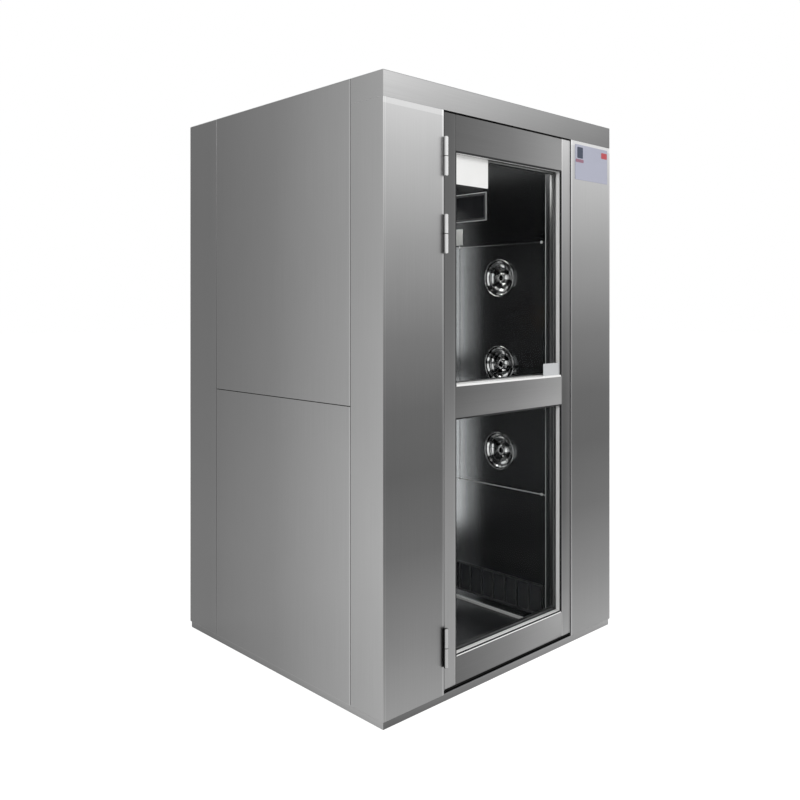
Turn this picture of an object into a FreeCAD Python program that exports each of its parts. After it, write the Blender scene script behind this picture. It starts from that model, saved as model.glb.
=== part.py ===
import FreeCAD
import Part
import Sketcher
import math
import os

# Single-person air shower: a stainless cabinet with a glazed swing door at each end.
# Millimetres. Origin at the centre of the base, +X to the right, -Y the photographed front, +Z up.

SIZES = {
    # Cabinet
    "cabinet_width": 1300,
    "cabinet_depth": 1200,
    "cabinet_height": 2100,
    "skin": 2,
    "panel_sheet": 1.5,
    "plinth_height": 25,
    "plinth_recess": 4,
    "plinth_bar": 40,
    "floor_sheet": 3,
    "post_width": 280,
    "front_post_depth": 160,
    "rear_post_depth": 206,
    "jamb_depth": 125,
    "post_lip": 25,
    "header_height": 85,
    "panel_joint": 1015,
    "panel_flange": 20,
    "seam": 2,
    "stop_size": 15,
    # Door leaf
    "leaf_gap": 4,
    "leaf_setback": 1.5,
    "leaf_thickness": 50,
    "leaf_bottom": 36,
    "leaf_top_gap": 6,
    "stile_width": 56,
    "top_rail": 125,
    "middle_rail": 110,
    "middle_rail_height": 960,
    "bottom_rail": 102,
    "glass_setback": 26,
    "glass_thickness": 6,
    "glass_play": 0.5,
    "glazing_lip": 12,
    "gasket_depth": 8,
    "gasket_width": 5,
    "bead_width": 4,
    "seal_thickness": 3,
    "seal_width": 9,
    "seal_inset": 1,
    "seal_play": 0.3,
    # Lift-off hinges
    "hinge_radius": 8,
    "hinge_pin_radius": 4.5,
    "hinge_pin_play": 0.05,
    "hinge_pin_length": 50,
    "hinge_height": 134,
    "hinge_split": 0.3,
    "hinge_leaf": 3,
    "hinge_reach": 38,
    "hinge_standoff": 0.5,
    "hinge_top": 1857,
    "hinge_second": 1593,
    "hinge_bottom": 187,
    # Electric bolt lock
    "lock_height": 940,
    "lock_setback": 25,
    "bolt_thickness": 12,
    "bolt_height": 36,
    "bolt_length": 40,
    "bolt_play": 0.4,
    "strike_play": 2,
    "lock_wall": 6,
    # Inner walls and nozzles
    "wall_sheet": 1.5,
    "wall_low_joint": 570,
    "wall_high_joint": 1612,
    "nozzle_low": 725,
    "nozzle_pitch": 372,
    "bezel_radius": 80,
    "bezel_body_radius": 72,
    "bezel_land": 2,
    "bezel_proud": 3,
    "bezel_depth": 40,
    "bezel_fit": 0.3,
    "dish_depth": 22,
    "socket_wall": 3,
    "ball_radius": 36,
    "ball_play": 0.3,
    "ball_nose": 32,
    "ball_tail": 24,
    "jet_radius": 11,
    # Return air grille and pre-filter
    "grille_low": 66,
    "grille_high": 197,
    "grille_end_margin": 15,
    "grille_border": 10,
    "grille_bar": 10,
    "grille_pitch": 65,
    "grille_proud": 2,
    "prefilter_thickness": 20,
    # Air handling
    "plenum_depth": 150,
    "filter_side": 610,
    "filter_depth": 69,
    "filter_recess": 12,
    "filter_rim": 18,
    "stand_height": 240,
    "stand_length": 420,
    "stand_sheet": 3,
    "blower_setback": 108,
    "volute_width": 110,
    "volute_radius": 112,
    "volute_growth": 18,
    "volute_sheet": 2,
    "volute_neck": 40,
    "volute_inlet": 78,
    "impeller_radius": 95,
    "impeller_width": 84,
    "impeller_plate": 3,
    "impeller_hub": 20,
    "impeller_hub_length": 30,
    "blade_height": 30,
    "blade_sheet": 2,
    "blade_angle": 35,
    "shaft_radius": 7,
    "shaft_play": 0.05,
    "shaft_hole_play": 3,
    "shaft_seat": 22,
    "motor_radius": 62,
    "motor_length": 42,
    # Roof space and fittings
    "ceiling_sheet": 2,
    "cable_entry_radius": 10.25,
    "cable_entry_setback": 150,
    "lamp_clearance": 15,
    "lamp_width": 300,
    "lamp_depth": 12,
    "lamp_rim": 6,
    "control_length": 320,
    "control_depth": 160,
    "control_height": 66,
    "display_centre": -65,
    "display_drop": 228,
    "display_length": 190,
    "display_tall": 125,
    "display_frame": 13,
    "display_depth": 6,
    "stop_button_height": 1290,
    "stop_button_offset": 60,
    "stop_base_side": 60,
    "stop_base_depth": 22,
    "stop_cap_radius": 19,
    "stop_cap_height": 13,
    "stop_travel": 5,
    "stop_rest": 1,
    "stop_stem_side": 14,
    "stop_stem_play": 0.3,
    "sensor_height": 640,
    "sensor_offset": 60,
    "sensor_radius": 9,
    "sensor_proud": 3,
}

BLADES = 8
NOZZLE_ROWS = 3
# Small and repeated turned forms are drawn with this many flats, to keep them light
FLATS = 16

doc = FreeCAD.newDocument("AirShower")
sheet = doc.addObject("Spreadsheet::Sheet", "Sizes")
for row, (alias, size) in enumerate(SIZES.items(), start=1):
    sheet.set(f"A{row}", alias)
    sheet.set(f"B{row}", str(size))
    sheet.setAlias(f"B{row}", alias)
doc.recompute()

# Places worked out from the driving sizes, kept as expressions of the sheet
half_width = "(Sizes.cabinet_width / 2)"
half_depth = "(Sizes.cabinet_depth / 2)"
wall_x = f"({half_width} - Sizes.post_width)"
jamb_end = f"({half_depth} - Sizes.jamb_depth)"
front_seam = f"({half_depth} - Sizes.front_post_depth)"
rear_seam = f"({half_depth} - Sizes.rear_post_depth)"
floor_top = "(Sizes.plinth_height + Sizes.floor_sheet)"
roof_low = "(Sizes.cabinet_height - Sizes.panel_sheet)"
header_low = "(Sizes.cabinet_height - Sizes.header_height)"
leaf_half = f"({wall_x} - Sizes.leaf_gap)"
leaf_front = f"({half_depth} - Sizes.leaf_setback)"
leaf_back = f"({leaf_front} - Sizes.leaf_thickness)"
leaf_top = f"({header_low} - Sizes.leaf_top_gap)"
glass_front = f"({leaf_front} - Sizes.glass_setback)"
stop_face = f"({leaf_back} - Sizes.seal_thickness - Sizes.seal_play)"
stop_back = f"({stop_face} - Sizes.stop_size)"
hinge_x = f"({wall_x} - Sizes.leaf_gap / 2)"
hinge_y = f"({half_depth} + Sizes.hinge_standoff + Sizes.hinge_radius)"
flange_x = f"({wall_x} + Sizes.panel_flange)"
plenum_back = f"({flange_x} + Sizes.plenum_depth)"
ball_x = f"({wall_x} - Sizes.bezel_proud + Sizes.ball_radius)"
volute_near = f"({wall_x} + Sizes.blower_setback)"
volute_far = f"({volute_near} + Sizes.volute_width)"
blower_height = "(Sizes.stand_height + Sizes.volute_radius + 1.5 * Sizes.volute_growth)"

subparts = {}


def value(expression):
    """Number that an expression of the sheet has now."""
    result = sheet.evalExpression(expression)
    return float(getattr(result, "Value", result))


def keep(name, item):
    """Register a finished sub-part under its file name."""
    item.Label = name
    subparts[name] = item
    return item


def place(item, x, y, z, turned=False):
    """Bind an object's position; turned puts it at the same place of the rear end."""
    sign = "-" if turned else ""
    if turned:
        half_turn = FreeCAD.Rotation(FreeCAD.Vector(0, 0, 1), 180)
        item.Placement = FreeCAD.Placement(FreeCAD.Vector(), half_turn)
    item.setExpression(".Placement.Base.x", f"{sign}({x})")
    item.setExpression(".Placement.Base.y", f"{sign}({y})")
    item.setExpression(".Placement.Base.z", z)


def box(name, low, high, turned=False):
    """Cuboid between two corners."""
    item = doc.addObject("Part::Box", name)
    for edge, near, far in zip(("Length", "Width", "Height"), low, high):
        item.setExpression(edge, f"({far}) - ({near})")
    place(item, *low, turned=turned)
    return item


def cylinder(name, base, radius, length, turned=False):
    """Upright cylinder on a base point."""
    item = doc.addObject("Part::Cylinder", name)
    item.setExpression("Radius", radius)
    item.setExpression("Height", length)
    place(item, *base, turned=turned)
    return item


def prism(name, base, radius, length, turned=False):
    """Upright round bar drawn with flats."""
    item = doc.addObject("Part::Prism", name)
    item.Polygon = FLATS
    item.setExpression("Circumradius", radius)
    item.setExpression("Height", length)
    place(item, *base, turned=turned)
    return item


def prism_x(name, base, radius, length):
    """Round bar along +X from a base point, drawn with flats."""
    item = prism(name, base, radius, length)
    item.Placement.Rotation = FreeCAD.Rotation(FreeCAD.Vector(0, 1, 0), 90)
    return item


def joined(name, pieces):
    item = doc.addObject("Part::MultiFuse", name)
    item.Shapes = pieces
    return item


def cut(name, base, tool):
    item = doc.addObject("Part::Cut", name)
    item.Base = base
    item.Tool = tool
    return item


def group(name, pieces):
    """Several separate solids that share one node."""
    item = doc.addObject("Part::Compound", name)
    item.Links = pieces
    return keep(name, item)


def body_at(name, x="0", y="0", z="0", turned=False):
    body = doc.addObject("PartDesign::Body", name)
    place(body, x, y, z, turned)
    return body


def sketch(body, name, plane, outlines, offset="0", circles=()):
    """Closed outlines and circles on one of the body's origin planes, every point bound to the sheet."""
    drawing = body.newObject("Sketcher::SketchObject", name)
    origin_plane = next(item for item in body.Origin.OriginFeatures if item.Role == plane)
    drawing.AttachmentSupport = (origin_plane, [""])
    drawing.MapMode = "FlatFace"
    drawing.setExpression(".AttachmentOffset.Base.z", offset)
    for points in outlines:
        first = drawing.GeometryCount
        corners = [FreeCAD.Vector(value(x), value(y), 0) for x, y in points]
        for start, end in zip(corners, corners[1:] + corners[:1]):
            drawing.addGeometry(Part.LineSegment(start, end))
        for index, (x, y) in enumerate(points):
            follower = first + (index + 1) % len(points)
            drawing.addConstraint(Sketcher.Constraint("Coincident", first + index, 2, follower, 1))
            fix_point(drawing, first + index, 1, x, y)
    for x, y, radius in circles:
        centre = FreeCAD.Vector(value(x), value(y), 0)
        index = drawing.addGeometry(Part.Circle(centre, FreeCAD.Vector(0, 0, 1), value(radius)))
        fix_point(drawing, index, 3, x, y)
        bound_constraint(drawing, Sketcher.Constraint("Radius", index, value(radius)), radius)
    return drawing


def fix_point(drawing, index, end, x, y):
    """Tie one point of a sketch to its distances from the sketch's origin."""
    for kind, expression in (("DistanceX", x), ("DistanceY", y)):
        distance = Sketcher.Constraint(kind, -1, 1, index, end, value(expression))
        bound_constraint(drawing, distance, expression)


def bound_constraint(drawing, constraint, expression):
    number = drawing.addConstraint(constraint)
    drawing.setExpression(f"Constraints[{number}]", expression)


def rectangle(x0, y0, x1, y1):
    return [(x0, y0), (x1, y0), (x1, y1), (x0, y1)]


def regular_outline(x, y, radius, count=FLATS):
    """Regular outline with its corners on a circle."""
    turns = [360 * step / count for step in range(count)]
    return [(f"{x} + ({radius}) * cos({turn})", f"{y} + ({radius}) * sin({turn})") for turn in turns]


def circle_points(x, radius, phase=0):
    """Corners of the flats of a turned form at one station of its axis, which runs along X."""
    turns = [2 * math.pi * (step + phase) / FLATS for step in range(FLATS)]
    return [FreeCAD.Vector(x, radius * math.cos(turn), radius * math.sin(turn)) for turn in turns]


def bar_with_flats(x, radius, length):
    """Round bar along +X from x, drawn with flats."""
    corners = circle_points(x, radius)
    return Part.Face(Part.makePolygon(corners + corners[:1])).extrude(FreeCAD.Vector(length, 0, 0))


def turned_with_flats(profile, phase=0):
    """Solid ring turned about X from a closed profile of (x, radius) points, drawn with flats."""
    rings = [circle_points(x, radius, phase) for x, radius in profile]
    faces = []
    for one, other in zip(rings, rings[1:] + rings[:1]):
        for step in range(FLATS):
            after = (step + 1) % FLATS
            corners = [one[step], one[after], other[after], other[step], one[step]]
            faces.append(Part.Face(Part.makePolygon(corners)))
    return Part.makeSolid(Part.makeShell(faces)).removeSplitter()


def turned_feature(name, blank, x, y, z, mirrored):
    """Copy of a turned blank in its place; mirrored points its +X end to the left."""
    item = doc.addObject("Part::Feature", name)
    item.Shape = blank
    turn = FreeCAD.Rotation(FreeCAD.Vector(0, 0, 1), 180 if mirrored else 0)
    item.Placement = FreeCAD.Placement(FreeCAD.Vector(x, value(y), value(z)), turn)
    return item


def pad(body, name, profile, length, reverse=False):
    feature = body.newObject("PartDesign::Pad", name)
    feature.Profile = profile
    feature.setExpression("Length", length)
    feature.Reversed = reverse
    return feature


def pocket(body, name, profile, length, reverse=False):
    feature = body.newObject("PartDesign::Pocket", name)
    feature.Profile = profile
    feature.setExpression("Length", length)
    feature.Reversed = reverse
    return feature


def tray(name, face_x, outward, low, high, sheet_size):
    """Folded panel whose face lies at face_x and whose four flanges turn back along outward (+1 or -1)."""
    body = body_at(name, x=face_x)
    face = sketch(body, name + "_face", "YZ_Plane", [rectangle(*low, *high)])
    pad(body, name + "_block", face, "Sizes.panel_flange", reverse=outward < 0)
    inner_low = [f"{place} + {sheet_size}" for place in low]
    inner_high = [f"{place} - {sheet_size}" for place in high]
    back = sketch(body, name + "_back", "YZ_Plane", [rectangle(*inner_low, *inner_high)],
                  offset=f"{outward} * Sizes.panel_flange")
    pocket(body, name + "_hollow", back, f"Sizes.panel_flange - {sheet_size}", reverse=outward < 0)
    return body


def base_frame():
    """Plinth of flat bars: a ring with two bars under the inner walls."""
    body = body_at("base_frame")
    out_x = f"{half_width} - Sizes.plinth_recess"
    out_y = f"{half_depth} - Sizes.plinth_recess"
    in_x = f"{out_x} - Sizes.plinth_bar"
    in_y = f"{out_y} - Sizes.plinth_bar"
    bar_near = wall_x
    bar_far = f"{wall_x} + Sizes.plinth_bar"
    outline = [
        rectangle(f"-({out_x})", f"-({out_y})", out_x, out_y),
        rectangle(f"-({bar_near})", f"-({in_y})", bar_near, in_y),
        rectangle(bar_far, f"-({in_y})", in_x, in_y),
        rectangle(f"-({in_x})", f"-({in_y})", f"-({bar_far})", in_y),
    ]
    pad(body, "plinth_bars", sketch(body, "plinth_plan", "XY_Plane", outline), "Sizes.plinth_height")
    keep("base_frame", body)


def notched_corner(end_y):
    """Corner of a sheet in the doorway: out along the jamb to end_y, notched round the door stop."""
    return [
        (wall_x, stop_back),
        (f"{wall_x} - Sizes.stop_size", stop_back),
        (f"{wall_x} - Sizes.stop_size", stop_face),
        (wall_x, stop_face),
        (wall_x, end_y),
    ]


def floor_plate():
    """Cabin floor out to the faces of both doorways, notched round the door stops."""
    body = body_at("floor_plate", z="Sizes.plinth_height")
    quarter = notched_corner(f"{half_depth} - Sizes.skin")
    outline = []
    for side, end in ((1, 1), (-1, 1), (-1, -1), (1, -1)):
        corner = quarter if side * end > 0 else quarter[::-1]
        outline += [(f"{side} * ({x})", f"{end} * ({y})") for x, y in corner]
    pad(body, "floor_sheet", sketch(body, "floor_plan", "XY_Plane", [outline]), "Sizes.floor_sheet")
    keep("floor_plate", body)


def post_plan(side, end, seam_y):
    """Plan of a folded post: side flange with its lip, face, jamb with the door stop and its lip."""
    outer = [
        (f"{half_width} - Sizes.post_lip", seam_y),
        (half_width, seam_y),
        (half_width, half_depth),
        (wall_x, half_depth),
        (wall_x, stop_face),
        (f"{wall_x} - Sizes.stop_size", stop_face),
        (f"{wall_x} - Sizes.stop_size", stop_back),
        (wall_x, stop_back),
        (wall_x, jamb_end),
        (f"{wall_x} + Sizes.post_lip", jamb_end),
    ]
    inner = [
        (f"{wall_x} + Sizes.post_lip", f"{jamb_end} + Sizes.skin"),
        (f"{wall_x} + Sizes.skin", f"{jamb_end} + Sizes.skin"),
        (f"{wall_x} + Sizes.skin", f"{stop_back} + Sizes.skin"),
        (f"{wall_x} - Sizes.stop_size + Sizes.skin", f"{stop_back} + Sizes.skin"),
        (f"{wall_x} - Sizes.stop_size + Sizes.skin", f"{stop_face} - Sizes.skin"),
        (f"{wall_x} + Sizes.skin", f"{stop_face} - Sizes.skin"),
        (f"{wall_x} + Sizes.skin", f"{half_depth} - Sizes.skin"),
        (f"{half_width} - Sizes.skin", f"{half_depth} - Sizes.skin"),
        (f"{half_width} - Sizes.skin", f"{seam_y} + Sizes.skin"),
        (f"{half_width} - Sizes.post_lip", f"{seam_y} + Sizes.skin"),
    ]
    return [(f"{side} * ({x})", f"{end} * ({y})") for x, y in outer + inner]


def post(name, side, end, seam_y, top, has_lock):
    """Folded column from the plinth up, with the slot of the lock bolt in its jamb where it has one."""
    body = body_at(name, z="Sizes.plinth_height")
    plan = sketch(body, name + "_plan", "XY_Plane", [post_plan(side, end, seam_y)])
    pad(body, name + "_fold", plan, f"{top} - Sizes.plinth_height")
    if has_lock:
        lock_y = f"{leaf_front} - Sizes.lock_setback"
        half_slot = "Sizes.bolt_thickness / 2 + Sizes.strike_play"
        half_tall = "Sizes.bolt_height / 2 + Sizes.strike_play"
        height = "Sizes.lock_height - Sizes.plinth_height"
        slot = rectangle(f"{end} * ({lock_y} - ({half_slot}))", f"{height} - ({half_tall})",
                         f"{end} * ({lock_y} + {half_slot})", f"{height} + {half_tall}")
        mouth = sketch(body, name + "_slot", "YZ_Plane", [slot], offset=f"{side} * {wall_x}")
        pocket(body, name + "_bolt_slot", mouth, "Sizes.skin", reverse=side > 0)
    keep(name, body)


def front_header():
    """Folded header over the whole front: it wraps onto both sides over the posts."""
    body = body_at("front_header", z=header_low)
    outer = [
        (f"-({half_width} - Sizes.post_lip)", f"-{front_seam}"),
        (f"-{half_width}", f"-{front_seam}"),
        (f"-{half_width}", f"-{half_depth}"),
        (half_width, f"-{half_depth}"),
        (half_width, f"-{front_seam}"),
        (f"{half_width} - Sizes.post_lip", f"-{front_seam}"),
    ]
    inner = [
        (f"{half_width} - Sizes.post_lip", f"-({front_seam} + Sizes.skin)"),
        (f"{half_width} - Sizes.skin", f"-({front_seam} + Sizes.skin)"),
        (f"{half_width} - Sizes.skin", f"-({half_depth} - Sizes.skin)"),
        (f"-({half_width} - Sizes.skin)", f"-({half_depth} - Sizes.skin)"),
        (f"-({half_width} - Sizes.skin)", f"-({front_seam} + Sizes.skin)"),
        (f"-({half_width} - Sizes.post_lip)", f"-({front_seam} + Sizes.skin)"),
    ]
    plan = sketch(body, "header_plan", "XY_Plane", [outer + inner])
    pad(body, "header_fold", plan, f"{roof_low} - {header_low}")
    soffit_side = f"{wall_x} + Sizes.skin"
    soffit = sketch(body, "header_soffit_plan", "XY_Plane",
                    [rectangle(f"-({soffit_side})", f"-({half_depth} - Sizes.skin)",
                               soffit_side, f"-{jamb_end}")])
    pad(body, "header_soffit", soffit, "Sizes.skin")
    add_head_stop(body, "header_stop", -1)
    keep("front_header", body)


def rear_header():
    """Header between the rear posts: rear face, soffit and door stop."""
    body = body_at("rear_header", z=header_low)
    face = sketch(body, "rear_face_plan", "XY_Plane",
                  [rectangle(f"-{wall_x}", f"{half_depth} - Sizes.skin", wall_x, half_depth)])
    pad(body, "rear_face", face, f"{roof_low} - {header_low}")
    right_side = [(wall_x, jamb_end)] + notched_corner(half_depth)
    left_side = [(f"-({x})", y) for x, y in right_side[::-1]]
    soffit = sketch(body, "rear_soffit_plan", "XY_Plane", [right_side + left_side])
    pad(body, "rear_soffit", soffit, "Sizes.skin")
    add_head_stop(body, "rear_stop", 1)
    keep("rear_header", body)


def add_head_stop(body, name, end):
    """Door stop under a soffit, between the stops of the two jambs."""
    side = f"({wall_x} - Sizes.stop_size)"
    plan = sketch(body, name + "_plan", "XY_Plane",
                  [rectangle(f"-{side}", f"{end} * {stop_back}", side, f"{end} * {stop_face}")])
    pad(body, name, plan, "Sizes.stop_size", reverse=True)


def side_panels():
    """Upper and lower side panels: trays flush with the posts, with a seam all round."""
    low_y = f"-({front_seam} - Sizes.seam)"
    high_y = f"({rear_seam} - Sizes.seam)"
    for side, word in ((-1, "left"), (1, "right")):
        face = f"{side} * {half_width}"
        lower = tray(f"{word}_lower_panel", face, -side, (low_y, "Sizes.plinth_height"),
                     (high_y, "(Sizes.panel_joint - Sizes.seam / 2)"), "Sizes.panel_sheet")
        upper = tray(f"{word}_upper_panel", face, -side, (low_y, "(Sizes.panel_joint + Sizes.seam / 2)"),
                     (high_y, roof_low), "Sizes.panel_sheet")
        keep(f"{word}_lower_panel", lower)
        keep(f"{word}_upper_panel", upper)


def roof_panel():
    """Flat roof sheet over all the walls, with the entry hole for the supply cable."""
    body = body_at("roof_panel", z=roof_low)
    plan = sketch(body, "roof_plan", "XY_Plane",
                  [rectangle(f"-{half_width}", f"-{half_depth}", half_width, half_depth)],
                  circles=[("0", f"{half_depth} - Sizes.cable_entry_setback", "Sizes.cable_entry_radius")])
    pad(body, "roof_sheet", plan, "Sizes.panel_sheet")
    keep("roof_panel", body)


def ceiling_and_lamp():
    """Cabin ceiling with a window for the lamp, and the lamp: a tray with its diffuser set in."""
    body = body_at("ceiling_panel", z=header_low)
    lamp_x = "Sizes.lamp_width / 2"
    lamp_y = f"({jamb_end} - Sizes.control_depth - Sizes.lamp_clearance)"
    outline = [
        rectangle(f"-{wall_x}", f"-{jamb_end}", wall_x, jamb_end),
        rectangle(f"-({lamp_x})", f"-({lamp_y})", lamp_x, lamp_y),
    ]
    pad(body, "ceiling_sheet", sketch(body, "ceiling_plan", "XY_Plane", outline), "Sizes.ceiling_sheet")
    keep("ceiling_panel", body)
    lamp = body_at("ceiling_lamp", z=f"{header_low} - Sizes.lamp_rim")
    rim_x = "Sizes.lamp_width / 2 + Sizes.lamp_rim"
    rim_y = f"{lamp_y} + Sizes.lamp_rim"
    rim = sketch(lamp, "lamp_rim_plan", "XY_Plane", [rectangle(f"-({rim_x})", f"-({rim_y})", rim_x, rim_y)])
    pad(lamp, "lamp_rim_sheet", rim, "Sizes.lamp_rim")
    case = sketch(lamp, "lamp_case_plan", "XY_Plane",
                  [rectangle(f"-({lamp_x})", f"-({lamp_y})", lamp_x, lamp_y)], offset="Sizes.lamp_rim")
    pad(lamp, "lamp_case", case, "Sizes.lamp_depth")
    keep("ceiling_lamp", lamp)


def nozzle_places():
    """Centres of the nozzles in one wall: three rows in each of two panels."""
    column = f"({jamb_end} / 2)"
    for end, column_word in ((-1, "front"), (1, "rear")):
        for row_number in range(NOZZLE_ROWS):
            height = f"(Sizes.nozzle_low + {row_number} * Sizes.nozzle_pitch)"
            yield f"{column_word}_{row_number + 1}", f"{end} * {column}", height


def inner_walls():
    """Inner walls: base panels with the grille window, nozzle panels with their holes, top panels."""
    base_panels = []
    nozzle_panels = []
    top_panels = []
    for side, word in ((-1, "left"), (1, "right")):
        face = f"{side} * {wall_x}"
        base = tray(f"{word}_base_panel", face, side, (f"-{jamb_end}", floor_top),
                    (jamb_end, "Sizes.wall_low_joint"), "Sizes.wall_sheet")
        reach = f"({jamb_end} - Sizes.grille_end_margin)"
        window = sketch(base, f"{word}_grille_window", "YZ_Plane",
                        [rectangle(f"-{reach}", "Sizes.grille_low", reach, "Sizes.grille_high")])
        pocket(base, f"{word}_grille_cut", window, "Sizes.wall_sheet", reverse=side > 0)
        base_panels.append(base)
        spans = ((f"-{jamb_end}", "(0 - Sizes.seam / 2)"), ("(Sizes.seam / 2)", jamb_end))
        for column, (low_y, high_y) in zip(("front", "rear"), spans):
            name = f"{word}_nozzle_panel_{column}"
            panel = tray(name, face, side, (low_y, "Sizes.wall_low_joint"),
                         (high_y, "Sizes.wall_high_joint"), "Sizes.wall_sheet")
            holes = [regular_outline(y, z, "Sizes.bezel_body_radius + Sizes.bezel_fit")
                     for word_of_place, y, z in nozzle_places() if word_of_place.startswith(column)]
            ring = sketch(panel, name + "_holes", "YZ_Plane", holes)
            pocket(panel, name + "_hole_cut", ring, "Sizes.wall_sheet", reverse=side > 0)
            nozzle_panels.append(panel)
        top = tray(f"{word}_top_panel", face, side, (f"-{jamb_end}", "Sizes.wall_high_joint"),
                   (jamb_end, header_low), "Sizes.wall_sheet")
        top_panels.append(top)
    group("inner_wall_base_panels", base_panels)
    group("nozzle_panels", nozzle_panels)
    group("inner_wall_top_panels", top_panels)


def return_grilles():
    """Return air grilles: a plate with a row of upright windows between bars, set into the base panels."""
    grilles = []
    for side, word in ((-1, "left"), (1, "right")):
        reach = f"({jamb_end} - Sizes.grille_end_margin)"
        body = body_at(f"{word}_grille", x=f"{side} * ({wall_x} - Sizes.grille_proud)")
        plate = sketch(body, f"{word}_grille_plate", "YZ_Plane",
                       [rectangle(f"-{reach}", "Sizes.grille_low", reach, "Sizes.grille_high")])
        pad(body, f"{word}_grille_blank", plate, "Sizes.grille_proud + Sizes.wall_sheet", reverse=side < 0)
        first = f"(0 - {reach} + Sizes.grille_border)"
        window = sketch(body, f"{word}_grille_window_plan", "YZ_Plane",
                        [rectangle(first, "Sizes.grille_low + Sizes.grille_border",
                                   f"{first} + Sizes.grille_pitch - Sizes.grille_bar",
                                   "Sizes.grille_high - Sizes.grille_border")])
        opening = pocket(body, f"{word}_grille_opening", window, "Sizes.grille_proud + Sizes.wall_sheet",
                         reverse=side > 0)
        row = body.newObject("PartDesign::LinearPattern", f"{word}_grille_row")
        row.Originals = [opening]
        row.Direction = (window, ["H_Axis"])
        clear = 2 * (value(reach) - value("Sizes.grille_border")) + value("Sizes.grille_bar")
        count = int(clear // value("Sizes.grille_pitch"))
        row.Occurrences = count
        row.setExpression("Length", f"{count - 1} * Sizes.grille_pitch")
        body.Tip = row
        grilles.append(body)
    group("return_grilles", grilles)


def nozzle_bezels():
    """Turned bezels: a rim on the wall, a dish that falls to the socket, and the socket behind the wall."""
    proud = value("Sizes.bezel_proud")
    rim = value("Sizes.bezel_radius")
    behind = value("Sizes.bezel_body_radius")
    socket = value("Sizes.ball_radius + Sizes.ball_play") / math.cos(math.pi / FLATS)
    profile = [
        (0, rim),
        (0, rim - value("Sizes.bezel_land")),
        (value("Sizes.dish_depth"), socket),
        (value("Sizes.bezel_depth"), socket),
        (value("Sizes.bezel_depth"), socket + value("Sizes.socket_wall")),
        (proud, behind),
        (proud, rim),
    ]
    blank = turned_with_flats(profile)
    bezels = []
    for side, word in ((-1, "left"), (1, "right")):
        face = side * (value(wall_x) - proud)
        for place_word, y, z in nozzle_places():
            bezels.append(turned_feature(f"{word}_bezel_{place_word}", blank, face, y, z, side < 0))
    group("nozzle_bezels", bezels)


def nozzle_balls():
    """Swivelling jet balls, one per nozzle: a sphere cut off at nose and tail, the jet hole through it."""
    radius = value("Sizes.ball_radius")
    nose = value("Sizes.ball_nose")
    tail = value("Sizes.ball_tail")
    stations = [-nose, -nose / 2, 0, tail / 2, tail]
    outline = [(x, math.sqrt(radius ** 2 - x ** 2)) for x in stations]
    hole = value("Sizes.jet_radius")
    # Half a step of turn puts the corners of the ball on the flats of its socket
    blank = turned_with_flats([(-nose, hole)] + outline + [(tail, hole)], phase=0.5)
    for side, word in ((-1, "left"), (1, "right")):
        for place_word, y, z in nozzle_places():
            name = f"{word}_nozzle_ball_{place_word}"
            keep(name, turned_feature(name, blank, side * value(ball_x), y, z, side < 0))


def door_leaf(end_word, turned):
    """Welded hollow leaf frame: two stiles, three rails, rebates for the panes, a slot for the bolt."""
    name = f"{end_word}_door_frame"
    body = body_at(name, y=f"-{leaf_back}", turned=turned)
    outline = sketch(body, name + "_outline", "XZ_Plane",
                     [rectangle(f"-{leaf_half}", "Sizes.leaf_bottom", leaf_half, leaf_top)])
    pad(body, name + "_block", outline, "Sizes.leaf_thickness")
    side = f"({leaf_half} - Sizes.skin)"
    inside = rectangle(f"-{side}", "Sizes.leaf_bottom + Sizes.skin", side, f"{leaf_top} - Sizes.skin")
    hollow = sketch(body, name + "_inside", "XZ_Plane", [inside] + pane_openings("(0 - Sizes.skin)"),
                    offset="Sizes.leaf_thickness - Sizes.skin")
    pocket(body, name + "_hollow", hollow, "Sizes.leaf_thickness - 2 * Sizes.skin")
    panes = pane_openings("0")
    rebate = sketch(body, name + "_rebate", "XZ_Plane", panes, offset="Sizes.leaf_thickness")
    pocket(body, name + "_rebate_cut", rebate, "Sizes.glass_setback + Sizes.glass_thickness")
    through = sketch(body, name + "_sight", "XZ_Plane", pane_openings("Sizes.glazing_lip"),
                     offset="Sizes.leaf_thickness")
    pocket(body, name + "_sight_cut", through, "Sizes.leaf_thickness")
    half_slot = "Sizes.bolt_thickness / 2 + Sizes.strike_play"
    half_tall = "Sizes.bolt_height / 2 + Sizes.strike_play"
    lock_y = f"({leaf_back} - {leaf_front} + Sizes.lock_setback)"
    slot = rectangle(f"{lock_y} - ({half_slot})", f"Sizes.lock_height - ({half_tall})",
                     f"{lock_y} + {half_slot}", f"Sizes.lock_height + {half_tall}")
    strike = sketch(body, name + "_strike", "YZ_Plane", [slot], offset=leaf_half)
    pocket(body, name + "_strike_cut", strike, "Sizes.skin")
    keep(name, body)


def pane_openings(inset):
    """Outlines of the lower and upper pane opening of a leaf, drawn in by an inset."""
    side = f"({leaf_half} - Sizes.stile_width - {inset})"
    lower = ("Sizes.leaf_bottom + Sizes.bottom_rail", "Sizes.middle_rail_height")
    upper = ("Sizes.middle_rail_height + Sizes.middle_rail", f"{leaf_top} - Sizes.top_rail")
    return [rectangle(f"-{side}", f"{low} + {inset}", side, f"{high} - {inset}")
            for low, high in (lower, upper)]


def ring_set(name, end_word, turned, front, depth, outset, width):
    """One rectangular ring in each pane opening, its outer edge inset by outset and its bar width wide."""
    rings = []
    outer = pane_openings(outset)
    inner = pane_openings(f"({outset} + {width})")
    for place_word, outside, inside in zip(("lower", "upper"), outer, inner):
        body = body_at(f"{end_word}_{name}_{place_word}", y=f"-({front} - {depth})", turned=turned)
        plan = sketch(body, f"{end_word}_{name}_{place_word}_plan", "XZ_Plane", [outside, inside])
        pad(body, f"{end_word}_{name}_{place_word}_ring", plan, depth)
        rings.append(body)
    return rings


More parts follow.
